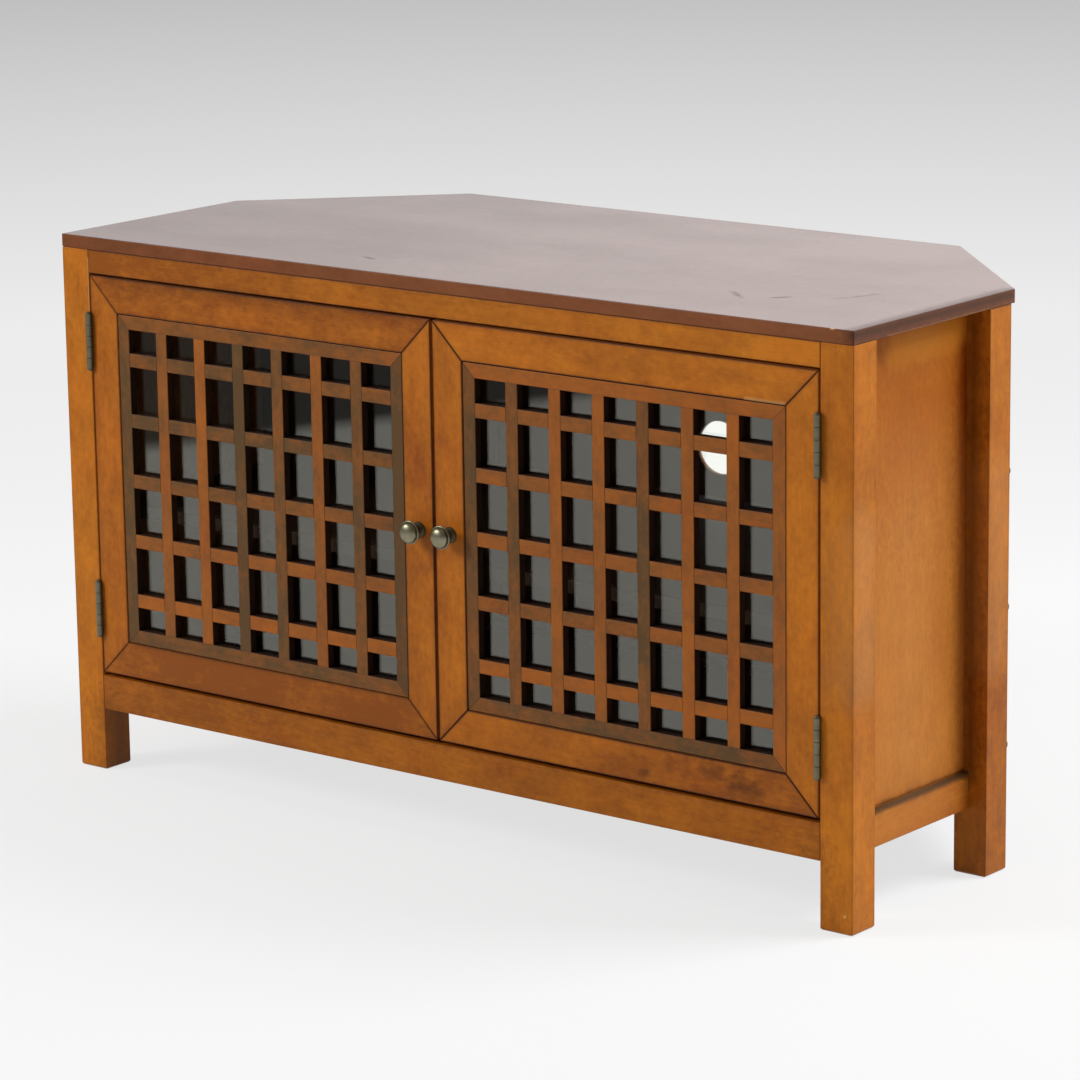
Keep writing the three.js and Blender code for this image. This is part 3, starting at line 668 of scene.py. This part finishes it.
# Outward corners longer than the shortest are rounded
def ease(shape, width, shortest, segments=3):
    sharp = math.radians(30)
    chosen = []
    for edge in shape.edges:
        if len(edge.link_faces) == 2 and edge.calc_length() > shortest:
            if edge.calc_face_angle_signed(0) > sharp:
                chosen.append(edge)
    settings = {"profile": 0.5, "affect": "EDGES", "clamp_overlap": False}
    bmesh.ops.bevel(shape, geom=chosen, offset=width, segments=segments, **settings)


grainShift = 5  # metres, so that no two boards share their grain
toneSpread = 0.04


# A board's measures. A mitred end is given as a point of its plane and the inward direction. Tone is how pale
# the board is, with how much paler its far end is than its middle, and line is how dark its arrises are.
def measure(places, along, across, spans=None, ends=(None, None), tone=(0, 0), line=1.0):
    along, across = np.array(along, float), np.array(across, float)
    through = np.cross(along, across)
    local = np.stack([places @ along, places @ across, places @ through], 1)
    lowest, highest = local.min(0), local.max(0)
    for axis, span in (spans or {}).items():
        lowest[axis], highest[axis] = span
    low, high = local - lowest, highest - local
    for gaps, end in zip((low, high), ends):
        if end is not None:
            point, inward = (np.array(v, float) for v in end)
            gaps[:, 0] = (places - point) @ inward
    fromMiddle = local - (lowest + highest) / 2
    lean = fromMiddle[:, 0] / ((highest[0] - lowest[0]) / 2)
    return {
        "grain": fromMiddle + chance.uniform(-grainShift, grainShift, 3),
        "lowGap": low,
        "highGap": high,
        "tone": tone[0] + tone[1] * lean + chance.uniform(-toneSpread, toneSpread),
        "line": np.full(len(places), float(line)),
    }


def writeMeasures(mesh, measures):
    for key, values in measures.items():
        kind, field = ("FLOAT", "value") if values.ndim == 1 else ("FLOAT_VECTOR", "vector")
        mesh.attributes.new(key, kind, "POINT").data.foreach_set(field, values.astype(np.float32).ravel())


def cornersOf(mesh):
    places = np.zeros(len(mesh.vertices) * 3)
    mesh.vertices.foreach_get("co", places)
    return places.reshape(-1, 3)


def addPiece(name, mesh, finish, body, replaced=()):
    mesh.materials.clear()
    mesh.materials.append(finishes[finish])
    piece = bpy.data.objects.new(name, mesh)
    bpy.context.scene.collection.objects.link(piece)
    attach(piece, body)
    if replaced:
        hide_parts(*replaced)
    return piece


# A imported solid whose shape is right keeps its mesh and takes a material
def paintNode(node, finish):
    nodes[node].data.materials.clear()
    nodes[node].data.materials.append(finishes[finish])


# Tone and line of the boards that differ from their fellows; two of the leans are painted light and shade
boardTonesAndShading = {
    "top_panel": (0, 0.3),
    # paler towards its right end: painted light
    "front_top_rail": (-0.03, 0.42),
    "front_bottom_rail": (-0.22, 0.0),
    "right_front_post": (0.14, 0.03),
    "left_front_post": (0.18, 0.06),
    "right_side_post": (0, 0.12),
    # darker towards the side post: painted shade
    "right_side_rail": (0.0, -0.2),
    "right_door_top_rail": (0.24, 0.0),
    "right_door_bottom_rail": (-0.2, -0.15),
    "right_door_hinge_stile": (0.2, 0.13),
    "right_door_meeting_stile": (-0.03, 0.05),
    "left_door_top_rail": (-0.28, 0.0),
    "left_door_bottom_rail": (-0.42, 0.0),
    "left_door_hinge_stile": (-0.06, -0.06),
    "left_door_meeting_stile": (0.0, 0.07),
}
boardLines = {
    "front_top_rail": 1.4,
    "right_front_post": 0.1,
    "left_front_post": 0.3,
    "front_bottom_rail": 0.0,
    "right_door_hinge_stile": 0.6,
    "left_door_top_rail": 0.6,
    "left_door_hinge_stile": 0.5,
    "left_door_bottom_rail": 0.5,
}


def nodeBoard(node, finish, along, across, easing=0.8 * mm, shortest=12 * mm, **measured):
    shape = joinedCopy(node)
    ease(shape, easing, shortest)
    mesh = bmeshToMesh(shape, f"{node}_board")
    tone, line = boardTonesAndShading.get(node, (0, 0)), boardLines.get(node, 1.0)
    writeMeasures(mesh, measure(cornersOf(mesh), along, across, tone=tone, line=line, **measured))
    return addPiece(f"{node}_board", mesh, finish, nodes[node]["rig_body"], [node])


# The outer face of a slanted corner panel: its ends on the floor, the way between them and how it faces
def slantOf(hand, side):
    corners = cornersOf(nodes[f"{hand}_corner_panel"].data)
    rear = corners[corners[:, 1] > corners[:, 1].max() - 0.01 * mm]
    start = corners[np.argmax(corners[:, 0] * side)] * (1, 1, 0)
    end = rear[np.argmax(rear[:, 0] * side)] * (1, 1, 0)
    forward = (end - start) / np.linalg.norm(end - start)
    return start, end, forward, np.cross(forward, alongZ) * side


# Carcass. Through is up for the boards that lie flat, and to the outside for the others.
postInner = -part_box("left_front_post")[1].x
rearInner = -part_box("left_rear_post")[1].x
nodeBoard("top_panel", "top wood", alongX, alongY, easing=0.9 * mm)
shoulders = {0: (-postInner, postInner)}
nodeBoard("front_top_rail", "frame wood", alongX, alongZ, spans=shoulders)
nodeBoard("front_bottom_rail", "frame wood", alongX, alongZ, spans=shoulders)
nodeBoard("rear_bottom_rail", "shaded inside wood", alongX, alongZ, spans={0: (-rearInner, rearInner)})
nodeBoard("floor_panel", "shaded inside wood", alongX, alongY)
nodeBoard("shelf", "shaded inside wood", alongX, alongY)
nodeBoard("back_panel", "back board", (-1, 0, 0), alongZ, easing=0.4 * mm)
for hand, side in hands.items():
    for name in ("front_post", "side_post", "rear_post"):
        nodeBoard(f"{hand}_{name}", "frame wood", alongZ, alongX, easing=1.0 * mm)
    nodeBoard(f"{hand}_side_panel", "side wood", alongZ, (0, side, 0), easing=0.5 * mm)
    between = {0: (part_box(f"{hand}_front_post")[1].y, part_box(f"{hand}_side_post")[0].y)}
    nodeBoard(f"{hand}_side_rail", "side wood", alongY, alongZ, spans=between)
    forward = slantOf(hand, side)[2]
    nodeBoard(f"{hand}_corner_panel", "back board", alongZ, forward * -side, easing=0.4 * mm)
    for name in ("side_cleat", "rear_cleat"):
        nodeBoard(f"{hand}_{name}", "shaded inside wood", alongZ, alongX, easing=0.6 * mm)
print("carcass boards made")

# Door frames: mitred members
doorEasing = 0.9 * mm
diagonal = math.sqrt(0.5)


def doorFrame(hand, side):
    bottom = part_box(f"{hand}_door_bottom_rail")[0].z
    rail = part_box(f"{hand}_door_top_rail")
    left, right, top = rail[0].x, rail[1].x, rail[1].z
    stiles = [f"{hand}_door_{name}_stile" for name in ("meeting", "hinge")][::side]
    for node, x, inward in zip(stiles, (left, right), (diagonal, -diagonal)):
        ends = [((x, 0, bottom), (-inward, 0, diagonal)), ((x, 0, top), (-inward, 0, -diagonal))]
        nodeBoard(node, "door wood", alongZ, alongX, easing=doorEasing, ends=ends)
    rails = [f"{hand}_door_{name}_rail" for name in ("bottom", "top")]
    for node, z, inward in zip(rails, (bottom, top), (-diagonal, diagonal)):
        ends = [((left, 0, z), (diagonal, 0, inward)), ((right, 0, z), (-diagonal, 0, inward))]
        nodeBoard(node, "door wood", alongX, alongZ, easing=doorEasing, ends=ends)


for hand, side in hands.items():
    doorFrame(hand, side)
print("door frames made")

# Lattice of half-lapped strips. The sizes repeat those of the solids, in mm. Tones go from the left and from
# the bottom, and round the border from the bottom anticlockwise.
lattice = {
    "strip": 16,
    "recess": 0.8,  # behind the doors' plane
    "depth": 10,
    "lip": 6,  # of the door frame, before the border's tongue
    "tongue": 7,  # how far the border reaches behind the lip
    "columns": 7,
    "rowShares": [0.5, 1, 1, 1, 1, 0.5],
    "seat": 0.3,  # between touching pieces
    "easing": 0.35,
    "uprightTones": {"right": [-0.2, 0.2, 0.2, -0.3, 0.2, 0.25], "left": [0, 0.2, -0.4, -0.2, 0.15, -0.2]},
    "barTones": {"right": [0.35, 0, 0.1, 0.1, 0.05], "left": [0.3, 0.15, -0.1, -0.3, -0.25]},
    "borderTones": {"right": [-0.3, 0.15, 0.3, -0.35], "left": [-0.3, -0.5, -0.2, -0.35]},
}


# A comb outline: a strip from start to end, with notches that reach from its far side to the lap plane
def combOutline(start, end, near, far, lap, notches):
    points = [(start, near), (end, near), (end, far)]
    for notchLow, notchHigh in reversed(notches):
        points += [(notchHigh, far), (notchHigh, lap), (notchLow, lap), (notchLow, far)]
    return np.array(points + [(start, far)])


# The faces between two rings of as many corners, and the two ends
def ringFaces(count):
    ring = np.arange(count)
    after = (ring + 1) % count
    faces = [tuple(quad) for quad in np.column_stack([ring, after, after + count, ring + count]).tolist()]
    return faces + [tuple(ring[::-1].tolist()), tuple((ring + count).tolist())]


# Carries an outline of (along, behind) across a width. Corners are along * a + across * b + behind * c.
def carriedStrip(outline, width, along, across):
    rows = [np.insert(outline, 1, side, axis=1) for side in width]
    return np.vstack(rows) @ np.array([along, across, alongY], float), ringFaces(len(outline))


def closedShape(places, faces):
    shape = bmesh.new()
    corners = [shape.verts.new(place) for place in places]
    for face in faces:
        shape.faces.new([corners[i] for i in face])
    bmesh.ops.recalc_face_normals(shape, faces=shape.faces)
    return shape


def joinMeshes(name, meshes):
    whole = bmesh.new()
    for part in meshes:
        whole.from_mesh(part)
    return bmeshToMesh(whole, name)


# Joins strips into one mesh, each with its corners eased and its own measures
def stripMesh(name, strips, easing):
    meshes = []
    for places, faces, along, across, measured in strips:
        shape = closedShape(places, faces)
        ease(shape, easing, shortEdge, 2)
        part = bmeshToMesh(shape, name)
        writeMeasures(part, measure(cornersOf(part), along, across, **measured))
        meshes.append(part)
    return joinMeshes(name, meshes)


# A mitred border: a profile of (inward, behind) carried round a rectangle, from the bottom anticlockwise
def mitredBorder(profile, left, right, low, high, tones):
    sides = [
        ((left, low), (1, 0), (0, 1), right - left),
        ((right, low), (0, 1), (-1, 0), high - low),
        ((right, high), (-1, 0), (0, -1), right - left),
        ((left, high), (0, -1), (1, 0), high - low),
    ]
    profile = np.array(profile, float)
    inset = profile[:, :1]
    strips = []
    for (corner, along, inward, length), tone in zip(sides, tones):
        corner, along, inward = (np.array(v, float) for v in (corner, along, inward))
        flat = np.vstack([corner + along * reach + inward * inset for reach in (inset, length - inset)])
        places = np.insert(flat, 1, np.tile(profile[:, 1], 2), axis=1)
        corner3, along3, inward3 = (np.insert(v, 1, 0) for v in (corner, along, inward))
        # Through points to the back, so that lowGap's third number is the depth behind the front face
        across3 = np.cross(alongY, along3)
        ends = [
            (corner3, (along3 - inward3) * diagonal),
            (corner3 + along3 * length, (-along3 - inward3) * diagonal),
        ]
        measured = {"ends": ends, "tone": (tone, 0)}
        strips.append((places, ringFaces(len(profile)), along3, across3, measured))
    return strips


def latticePieces(hand):
    body = f"{hand}_door"
    lowest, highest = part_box(f"{hand}_lattice_uprights")
    near = frontY + lattice["recess"] * mm
    far = near + lattice["depth"] * mm
    lap = frontY + (lattice["lip"] + lattice["seat"] / 2) * mm
    seat, strip = lattice["seat"] * mm, lattice["strip"] * mm
    left, right = lowest.x + strip, highest.x - strip
    low, high = lowest.z + strip, highest.z - strip
    pitch = (right - left + strip) / lattice["columns"]
    uprights = [left + (i + 1) * pitch - strip for i in range(lattice["columns"] - 1)]
    shares = lattice["rowShares"]
    unit = (high - low - (len(shares) - 1) * strip) / sum(shares)
    bars = [low + sum(shares[: i + 1]) * unit + i * strip for i in range(len(shares) - 1)]

    tongue = -lattice["tongue"] * mm
    profile = [(0, near), (strip, near), (strip, far), (tongue, far), (tongue, lap), (0, lap)]
    tones = lattice["borderTones"][hand]
    standing = mitredBorder(profile, lowest.x, highest.x, lowest.z, highest.z, tones)
    notches = [(bar - seat, bar + strip + seat) for bar in bars]
    for place, tone in zip(uprights, lattice["uprightTones"][hand]):
        outline = combOutline(low + seat / 2, high - seat / 2, near, far, lap - seat / 2, notches)
        places, faces = carriedStrip(outline, (place, place + strip), alongZ, alongX)
        standing.append((places, faces, alongZ, alongX, {"tone": (tone, 0)}))
    mesh = stripMesh(f"{hand}_lattice_uprights_strips", standing, lattice["easing"] * mm)
    addPiece(mesh.name, mesh, "lattice wood", body, [f"{hand}_lattice_uprights"])

    notches = [(place - seat, place + strip + seat) for place in uprights]
    lying = []
    for place, tone in zip(bars, lattice["barTones"][hand]):
        outline = combOutline(left + seat / 2, right - seat / 2, far, near, lap + seat / 2, notches)
        places, faces = carriedStrip(outline, (place, place + strip), alongX, alongZ)
        lying.append((places, faces, alongX, (0, 0, -1), {"tone": (tone, 0)}))
    mesh = stripMesh(f"{hand}_lattice_crossbars_strips", lying, lattice["easing"] * mm)
    addPiece(mesh.name, mesh, "lattice wood", body, [f"{hand}_lattice_crossbars"])


for hand in hands:
    latticePieces(hand)
print("lattices made")

# Glass and its beads, in mm behind the front, their rear inner corner chamfered
beads = {
    "width": 7.7,
    "front": 14.4,
    "back": 18.4,
    "chamfer": 2.0,
    "easing": 0.3,
    "tones": [0.05, -0.1, 0, 0.1],
}
for hand in hands:
    paintNode(f"{hand}_glass", "glass")
    lowest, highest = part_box(f"{hand}_glass_beads")
    front, back = frontY + beads["front"] * mm, frontY + beads["back"] * mm
    width, chamfer = beads["width"] * mm, beads["chamfer"] * mm
    profile = [(0, front), (width, front), (width, back - chamfer), (width - chamfer, back), (0, back)]
    strips = mitredBorder(profile, lowest.x, highest.x, lowest.z, highest.z, beads["tones"])
    mesh = stripMesh(f"{hand}_glass_beads_strips", strips, beads["easing"] * mm)
    addPiece(mesh.name, mesh, "door wood", f"{hand}_door", [f"{hand}_glass_beads"])
print("glass and beads made")


smoothUnder = math.radians(38)  # between two faces of a turned piece


# A closed grid of rings round an axis: its corners are origin + x * right + y * up + height * axis
def gridPart(name, x, y, heights, patinaAndShade, origin, axis):
    axis = np.array(axis, float)
    up = np.array(alongY if abs(axis[2]) > 0.9 else alongZ, float)
    right = np.cross(up, axis)
    places = origin + x[..., None] * right + y[..., None] * up + heights[..., None] * axis
    rings, sides = x.shape
    start = np.arange(rings - 1)[:, None] * sides + np.arange(sides)
    after = np.arange(rings - 1)[:, None] * sides + (np.arange(sides) + 1) % sides
    faces = np.stack([start, after, after + sides, start + sides], -1).reshape(-1, 4)
    mesh = bpy.data.meshes.new(name)
    mesh.from_pydata(places.reshape(-1, 3).tolist(), [], faces.tolist())
    writeMeasures(mesh, {"patinaAndShade": patinaAndShade.ravel()})
    shape = bmesh.new()
    shape.from_mesh(mesh)
    bmesh.ops.remove_doubles(shape, verts=shape.verts, dist=weld)
    bmesh.ops.recalc_face_normals(shape, faces=shape.faces)
    mesh = bmeshToMesh(shape, name)
    mesh.shade_smooth()
    mesh.set_sharp_from_angle(angle=smoothUnder)
    return mesh


# A turned piece: a profile of (radius, reach, patina) carried round an axis, closed where its radius is 0
def turnedPart(name, profile, origin, axis, sides):
    radius, reach, patinaAndShade = (column[:, None] for column in np.array(profile, float).T)
    turns = np.arange(sides) * 2 * math.pi / sides
    x, y = (radius * mm * way(turns) for way in (np.cos, np.sin))
    return gridPart(name, x, y, reach * mm + 0 * x, patinaAndShade + 0 * x, np.array(origin), axis)


screwShape = {
    "sides": 32,
    "rings": 10,
    "slot": 0.13,  # of the radius, as are the arms of the cross
    "arm": 0.62,
    "fall": 0.6,  # of the rise, as is the dent
    "dent": 0.35,
}


# A screw head: a dome that falls by the square of the distance to its rim, less a cross-shaped dent where
# the nearer of two lines at right angles is closer than half the slot
def screwHead(origin, axis, radius, rise):
    sides = screwShape["sides"]
    share = np.append(np.linspace(0, 1, screwShape["rings"]), [1, 0])[:, None]
    turns = np.arange(sides) * 2 * math.pi / sides
    x, y = (radius * mm * share * way(turns) for way in (np.cos, np.sin))
    turn = chance.uniform(0, math.pi)
    u = x * math.cos(turn) + y * math.sin(turn)
    v = y * math.cos(turn) - x * math.sin(turn)
    slot, arm = screwShape["slot"] * radius * mm, screwShape["arm"] * radius * mm
    dent = (2 - np.minimum(abs(u), abs(v)) * 2 / slot).clip(0, 1)
    dent = dent * ((arm - np.hypot(x, y)) / slot).clip(0, 1)
    heights = rise * mm * (1 - screwShape["fall"] * share**2 - screwShape["dent"] * dent)
    heights[-2:], dent[-2:] = 0, 0
    return gridPart("screw", x, y, heights, dent, np.array(origin), axis)


def easedNode(node, width, shortest):
    shape = joinedCopy(node)
    ease(shape, width, shortest, 2)
    return bmeshToMesh(shape, node)


def addHardware(name, meshes, finish, body, replaced=()):
    for mesh in meshes:
        if "patinaAndShade" not in mesh.attributes:
            writeMeasures(mesh, {"patinaAndShade": np.zeros(len(mesh.vertices))})
    return addPiece(name, joinMeshes(name, meshes), finish, body, replaced)


# Knob, in mm: a domed face, a groove and a rounded rim on a waisted neck, a small base and the shank in the
# door. Its profiles are (radius, reach), and patina has a number for each of their places.
knob = {
    "reach": 24,
    "face": 11.8,
    "faceRise": 6.6,
    "fullness": 0.8,  # 1 is half an ellipse, and less is flatter in the middle
    "sides": 72,
    "steps": 11,  # in the face, and in the rim
    "groove": [(0, -0.6), (0.2, -0.65)],  # from the face's edge
    "rim": 1.2,
    "rimTurns": (110, -80),
    "widest": 13.5,
    "rimReach": 16.1,
    "behind": 0.3,  # its base stands this far before the door
    "neck": [(11.4, 14.3), (9.4, 13.3), (7.5, 12), (6.2, 10.2), (5.5, 8), (5.4, 5.8), (6.1, 3.8), (7.6, 2.4)],
    "base": [(8.6, 1.6), (9, 0.9), (9, 0), (2.2, 0), (2.2, -14), (0, -14)],
    "facePatina": [0] * 10 + [0.3],
    "groovePatina": [0.8, 0.8],
    "rimPatina": [0.3] + [0] * 8 + [0.3, 0.5],
    # painted shade: the neck and base are darkened as if in the shadow of the knob's head
    "neckPatina": [0.8] * 8,
    "basePatina": [0.7, 0.7, 0.8, 1, 1, 1],
    "screwRadius": 3.8,
    "screwRise": 1.6,
}


# The face is radius * sin and rise * cos to the power of its fullness, over a quarter turn, and the rim is a
# part of a circle
def knobProfile():
    t = np.linspace(0, math.pi / 2, knob["steps"])
    level = knob["reach"] - knob["faceRise"]
    reach = level + knob["faceRise"] * np.cos(t).clip(0) ** knob["fullness"]
    face = np.column_stack([knob["face"] * np.sin(t), reach])
    groove = np.array(knob["groove"]) + (knob["face"], level)
    turns = np.radians(np.linspace(*knob["rimTurns"], knob["steps"]))
    middle = (knob["widest"] - knob["rim"], knob["rimReach"])
    rim = middle + knob["rim"] * np.column_stack([np.cos(turns), np.sin(turns)])
    shape = np.vstack([face, groove, rim, knob["neck"], knob["base"]])
    parts = ("face", "groove", "rim", "neck", "base")
    patinaAndShade = np.concatenate([knob[f"{part}Patina"] for part in parts])
    return np.column_stack([shape, patinaAndShade])


# Hinges, in mm: two leaves with knuckles in turn. Sizes repeat those of the solids.
hinge = {
    "across": 513,  # the pin's place
    "before": 4,
    "knuckles": 5,
    "knuckleRadius": 3.6,
    "knuckleGap": 0.15,  # at each end
    "knuckleRounding": 0.25,
    "knuckleSides": 32,
    "webOverlap": 1,  # of the web between leaf and knuckle, into both
    "leafOffset": 0.3,
    "leafThickness": 1.6,
    "leafReach": 16,
    "plateStart": 0.25,
    "easing": 0.25,
    "screws": [(9.5, -24), (6.5, 0), (9.5, 24)],  # behind the front, and from the hinge's middle
    "screwRadius": 2.7,
    "screwRise": 0.22,
}


# A leaf with its own share of the knuckles: every second one, from the first or the second
def hingeLeaf(node, side, own, outwards):
    low, high = (corner.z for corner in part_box(node))
    each = (high - low) / hinge["knuckles"]
    ranges = [(low + i * each, low + (i + 1) * each) for i in range(own, hinge["knuckles"], 2)]
    near = side * (hinge["across"] + outwards * hinge["leafOffset"]) * mm
    far = near + side * outwards * hinge["leafThickness"] * mm
    overlap = hinge["webOverlap"] * mm
    before, start = frontY - hinge["before"] * mm + overlap, frontY + hinge["plateStart"] * mm
    outlines = [combOutline(low, high, start, frontY + hinge["leafReach"] * mm, start, [])]
    gap = hinge["knuckleGap"]
    webs = [(a + gap * mm, b - gap * mm) for a, b in ranges]
    outlines += [combOutline(*web, before, start + overlap, start, []) for web in webs]
    meshes = []
    for outline in outlines:
        shape = closedShape(*carriedStrip(outline, sorted((near, far)), alongZ, alongX))
        ease(shape, hinge["easing"] * mm, shortEdge, 2)
        meshes.append(bmeshToMesh(shape, node))
    radius, rounding = hinge["knuckleRadius"], hinge["knuckleRounding"]
    end = each / mm - gap
    profile = [(0, gap, 1), (radius - rounding, gap, 0.3), (radius, gap + rounding, 0)]
    profile += [(radius, end - rounding, 0), (radius - rounding, end, 0.3), (0, end, 1)]
    for start, _ in ranges:
        origin = (side * hinge["across"] * mm, frontY - hinge["before"] * mm, start)
        meshes.append(turnedPart(node, profile, origin, alongZ, hinge["knuckleSides"]))
    for behind, above in hinge["screws"]:
        origin = (near, frontY + behind * mm, (low + high) / 2 + above * mm)
        meshes.append(screwHead(origin, (-side * outwards, 0, 0), hinge["screwRadius"], hinge["screwRise"]))
    addHardware(f"{node}_plate", meshes, "hinge metal", nodes[node]["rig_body"], [node])


# Dome-headed screws of the back and corner panels, in mm
fixings = {
    "radius": 4.0,
    "rise": 2.0,
    "heights": [139.5, 292.5, 441.5],
    "fromFront": 5.5,  # along the slanted panel
    "fromRear": 22,
    "backHeights": [139.5, 292.5, 441.5, 590],
    "backAcross": 329,
    "railHeight": 95,
    "railAcross": [-190, 0, 190],
}


def panelScrews(hand, side):
    start, end, forward, outward = slantOf(hand, side)
    spots = [start + forward * fixings["fromFront"] * mm, end - forward * fixings["fromRear"] * mm]
    raised = [spot + np.array([0, 0, height * mm]) for spot in spots for height in fixings["heights"]]
    meshes = [screwHead(origin, outward, fixings["radius"], fixings["rise"]) for origin in raised]
    addHardware(f"{hand}_corner_panel_screws", meshes, "screw steel", "carcass")


def backScrews():
    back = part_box("back_panel")[1].y
    columns = (-fixings["backAcross"], fixings["backAcross"])
    spots = [(across, height) for across in columns for height in fixings["backHeights"]]
    spots += [(across, fixings["railHeight"]) for across in fixings["railAcross"]]
    meshes = []
    for across, height in spots:
        origin = (across * mm, back, height * mm)
        meshes.append(screwHead(origin, alongY, fixings["radius"], fixings["rise"]))
    addHardware("back_panel_screws", meshes, "screw steel", "carcass")


# Magnetic catch, in mm: a moulded case, two magnets' plates in its front and two screws through its flange.
# The strikes on the doors have a screw each.
catch = {
    "easing": 0.7,
    "face": 20.8,  # behind the doors' plane
    "magnetAcross": 13,
    "magnetSize": (12, 10),
    "magnetRise": 0.1,
    "magnetHeight": 586.8,
    "magnetDepth": 1,
    "magnetEasing": 0.08,
    "flange": 23.3,
    "screwAcross": 17,
    "screwHeight": 605,
    "screwRadius": 3.2,
    "screwRise": 1.4,
    "strikeEasing": 0.3,
    "strikeScrewRadius": 3.0,
    "strikeScrewRise": 0.08,
}


def catchPieces():
    node = "magnetic_catch"
    case = easedNode(node, catch["easing"] * mm, shortEdge)
    addHardware("magnetic_catch_case", [case], "catch plastic", "carcass", [node])
    width, height = catch["magnetSize"]
    front, bottom = catch["face"] - catch["magnetRise"], catch["magnetHeight"] - height / 2
    steel = []
    for side in hands.values():
        low = at(side * catch["magnetAcross"] - width / 2, front, bottom)
        high = low + np.array([width, catch["magnetDepth"], height]) * mm
        outline = combOutline(low[2], high[2], low[1], high[1], low[1], [])
        shape = closedShape(*carriedStrip(outline, (low[0], high[0]), alongZ, alongX))
        ease(shape, catch["magnetEasing"] * mm, shortEdge, 1)
        steel.append(bmeshToMesh(shape, "magnet"))
        origin = at(side * catch["screwAcross"], catch["flange"], catch["screwHeight"])
        steel.append(screwHead(origin, alongY, catch["screwRadius"], catch["screwRise"]))
    addHardware("magnetic_catch_steel", steel, "zinc", "carcass")


def doorHardware(hand, side):
    body = f"{hand}_door"
    low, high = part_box(f"{hand}_knob")
    middle = (low + high) / 2
    origin = (middle.x, frontY - knob["behind"] * mm, middle.z)
    mesh = turnedPart(f"{hand}_knob", knobProfile(), origin, (0, -1, 0), knob["sides"])
    addHardware(f"{hand}_knob_turned", [mesh], "pewter", body, [f"{hand}_knob"])
    origin = (middle.x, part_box(f"{hand}_door_meeting_stile")[1].y, middle.z)
    screw = screwHead(origin, alongY, knob["screwRadius"], knob["screwRise"])
    addHardware(f"{hand}_knob_screw", [screw], "zinc", body)
    low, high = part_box(f"{hand}_strike")
    origin = ((low.x + high.x) / 2, high.y, (low.z + high.z) / 2)
    plate = easedNode(f"{hand}_strike", catch["strikeEasing"] * mm, shortEdge / 2)
    screw = screwHead(origin, alongY, catch["strikeScrewRadius"], catch["strikeScrewRise"])
    addHardware(f"{hand}_strike_plate", [plate, screw], "zinc", body, [f"{hand}_strike"])


for hand, side in hands.items():
    doorHardware(hand, side)
    for level in ("lower", "upper"):
        hingeLeaf(f"{hand}_{level}_hinge_post_leaf", side, 0, 1)
        hingeLeaf(f"{hand}_{level}_hinge_door_leaf", side, 1, -1)
        paintNode(f"{hand}_{level}_hinge_pin", "hinge metal")
    for name in ("front_shelf_pin", "rear_shelf_pin"):
        paintNode(f"{hand}_{name}", "zinc")
    panelScrews(hand, side)
backScrews()
catchPieces()
print("hardware made")
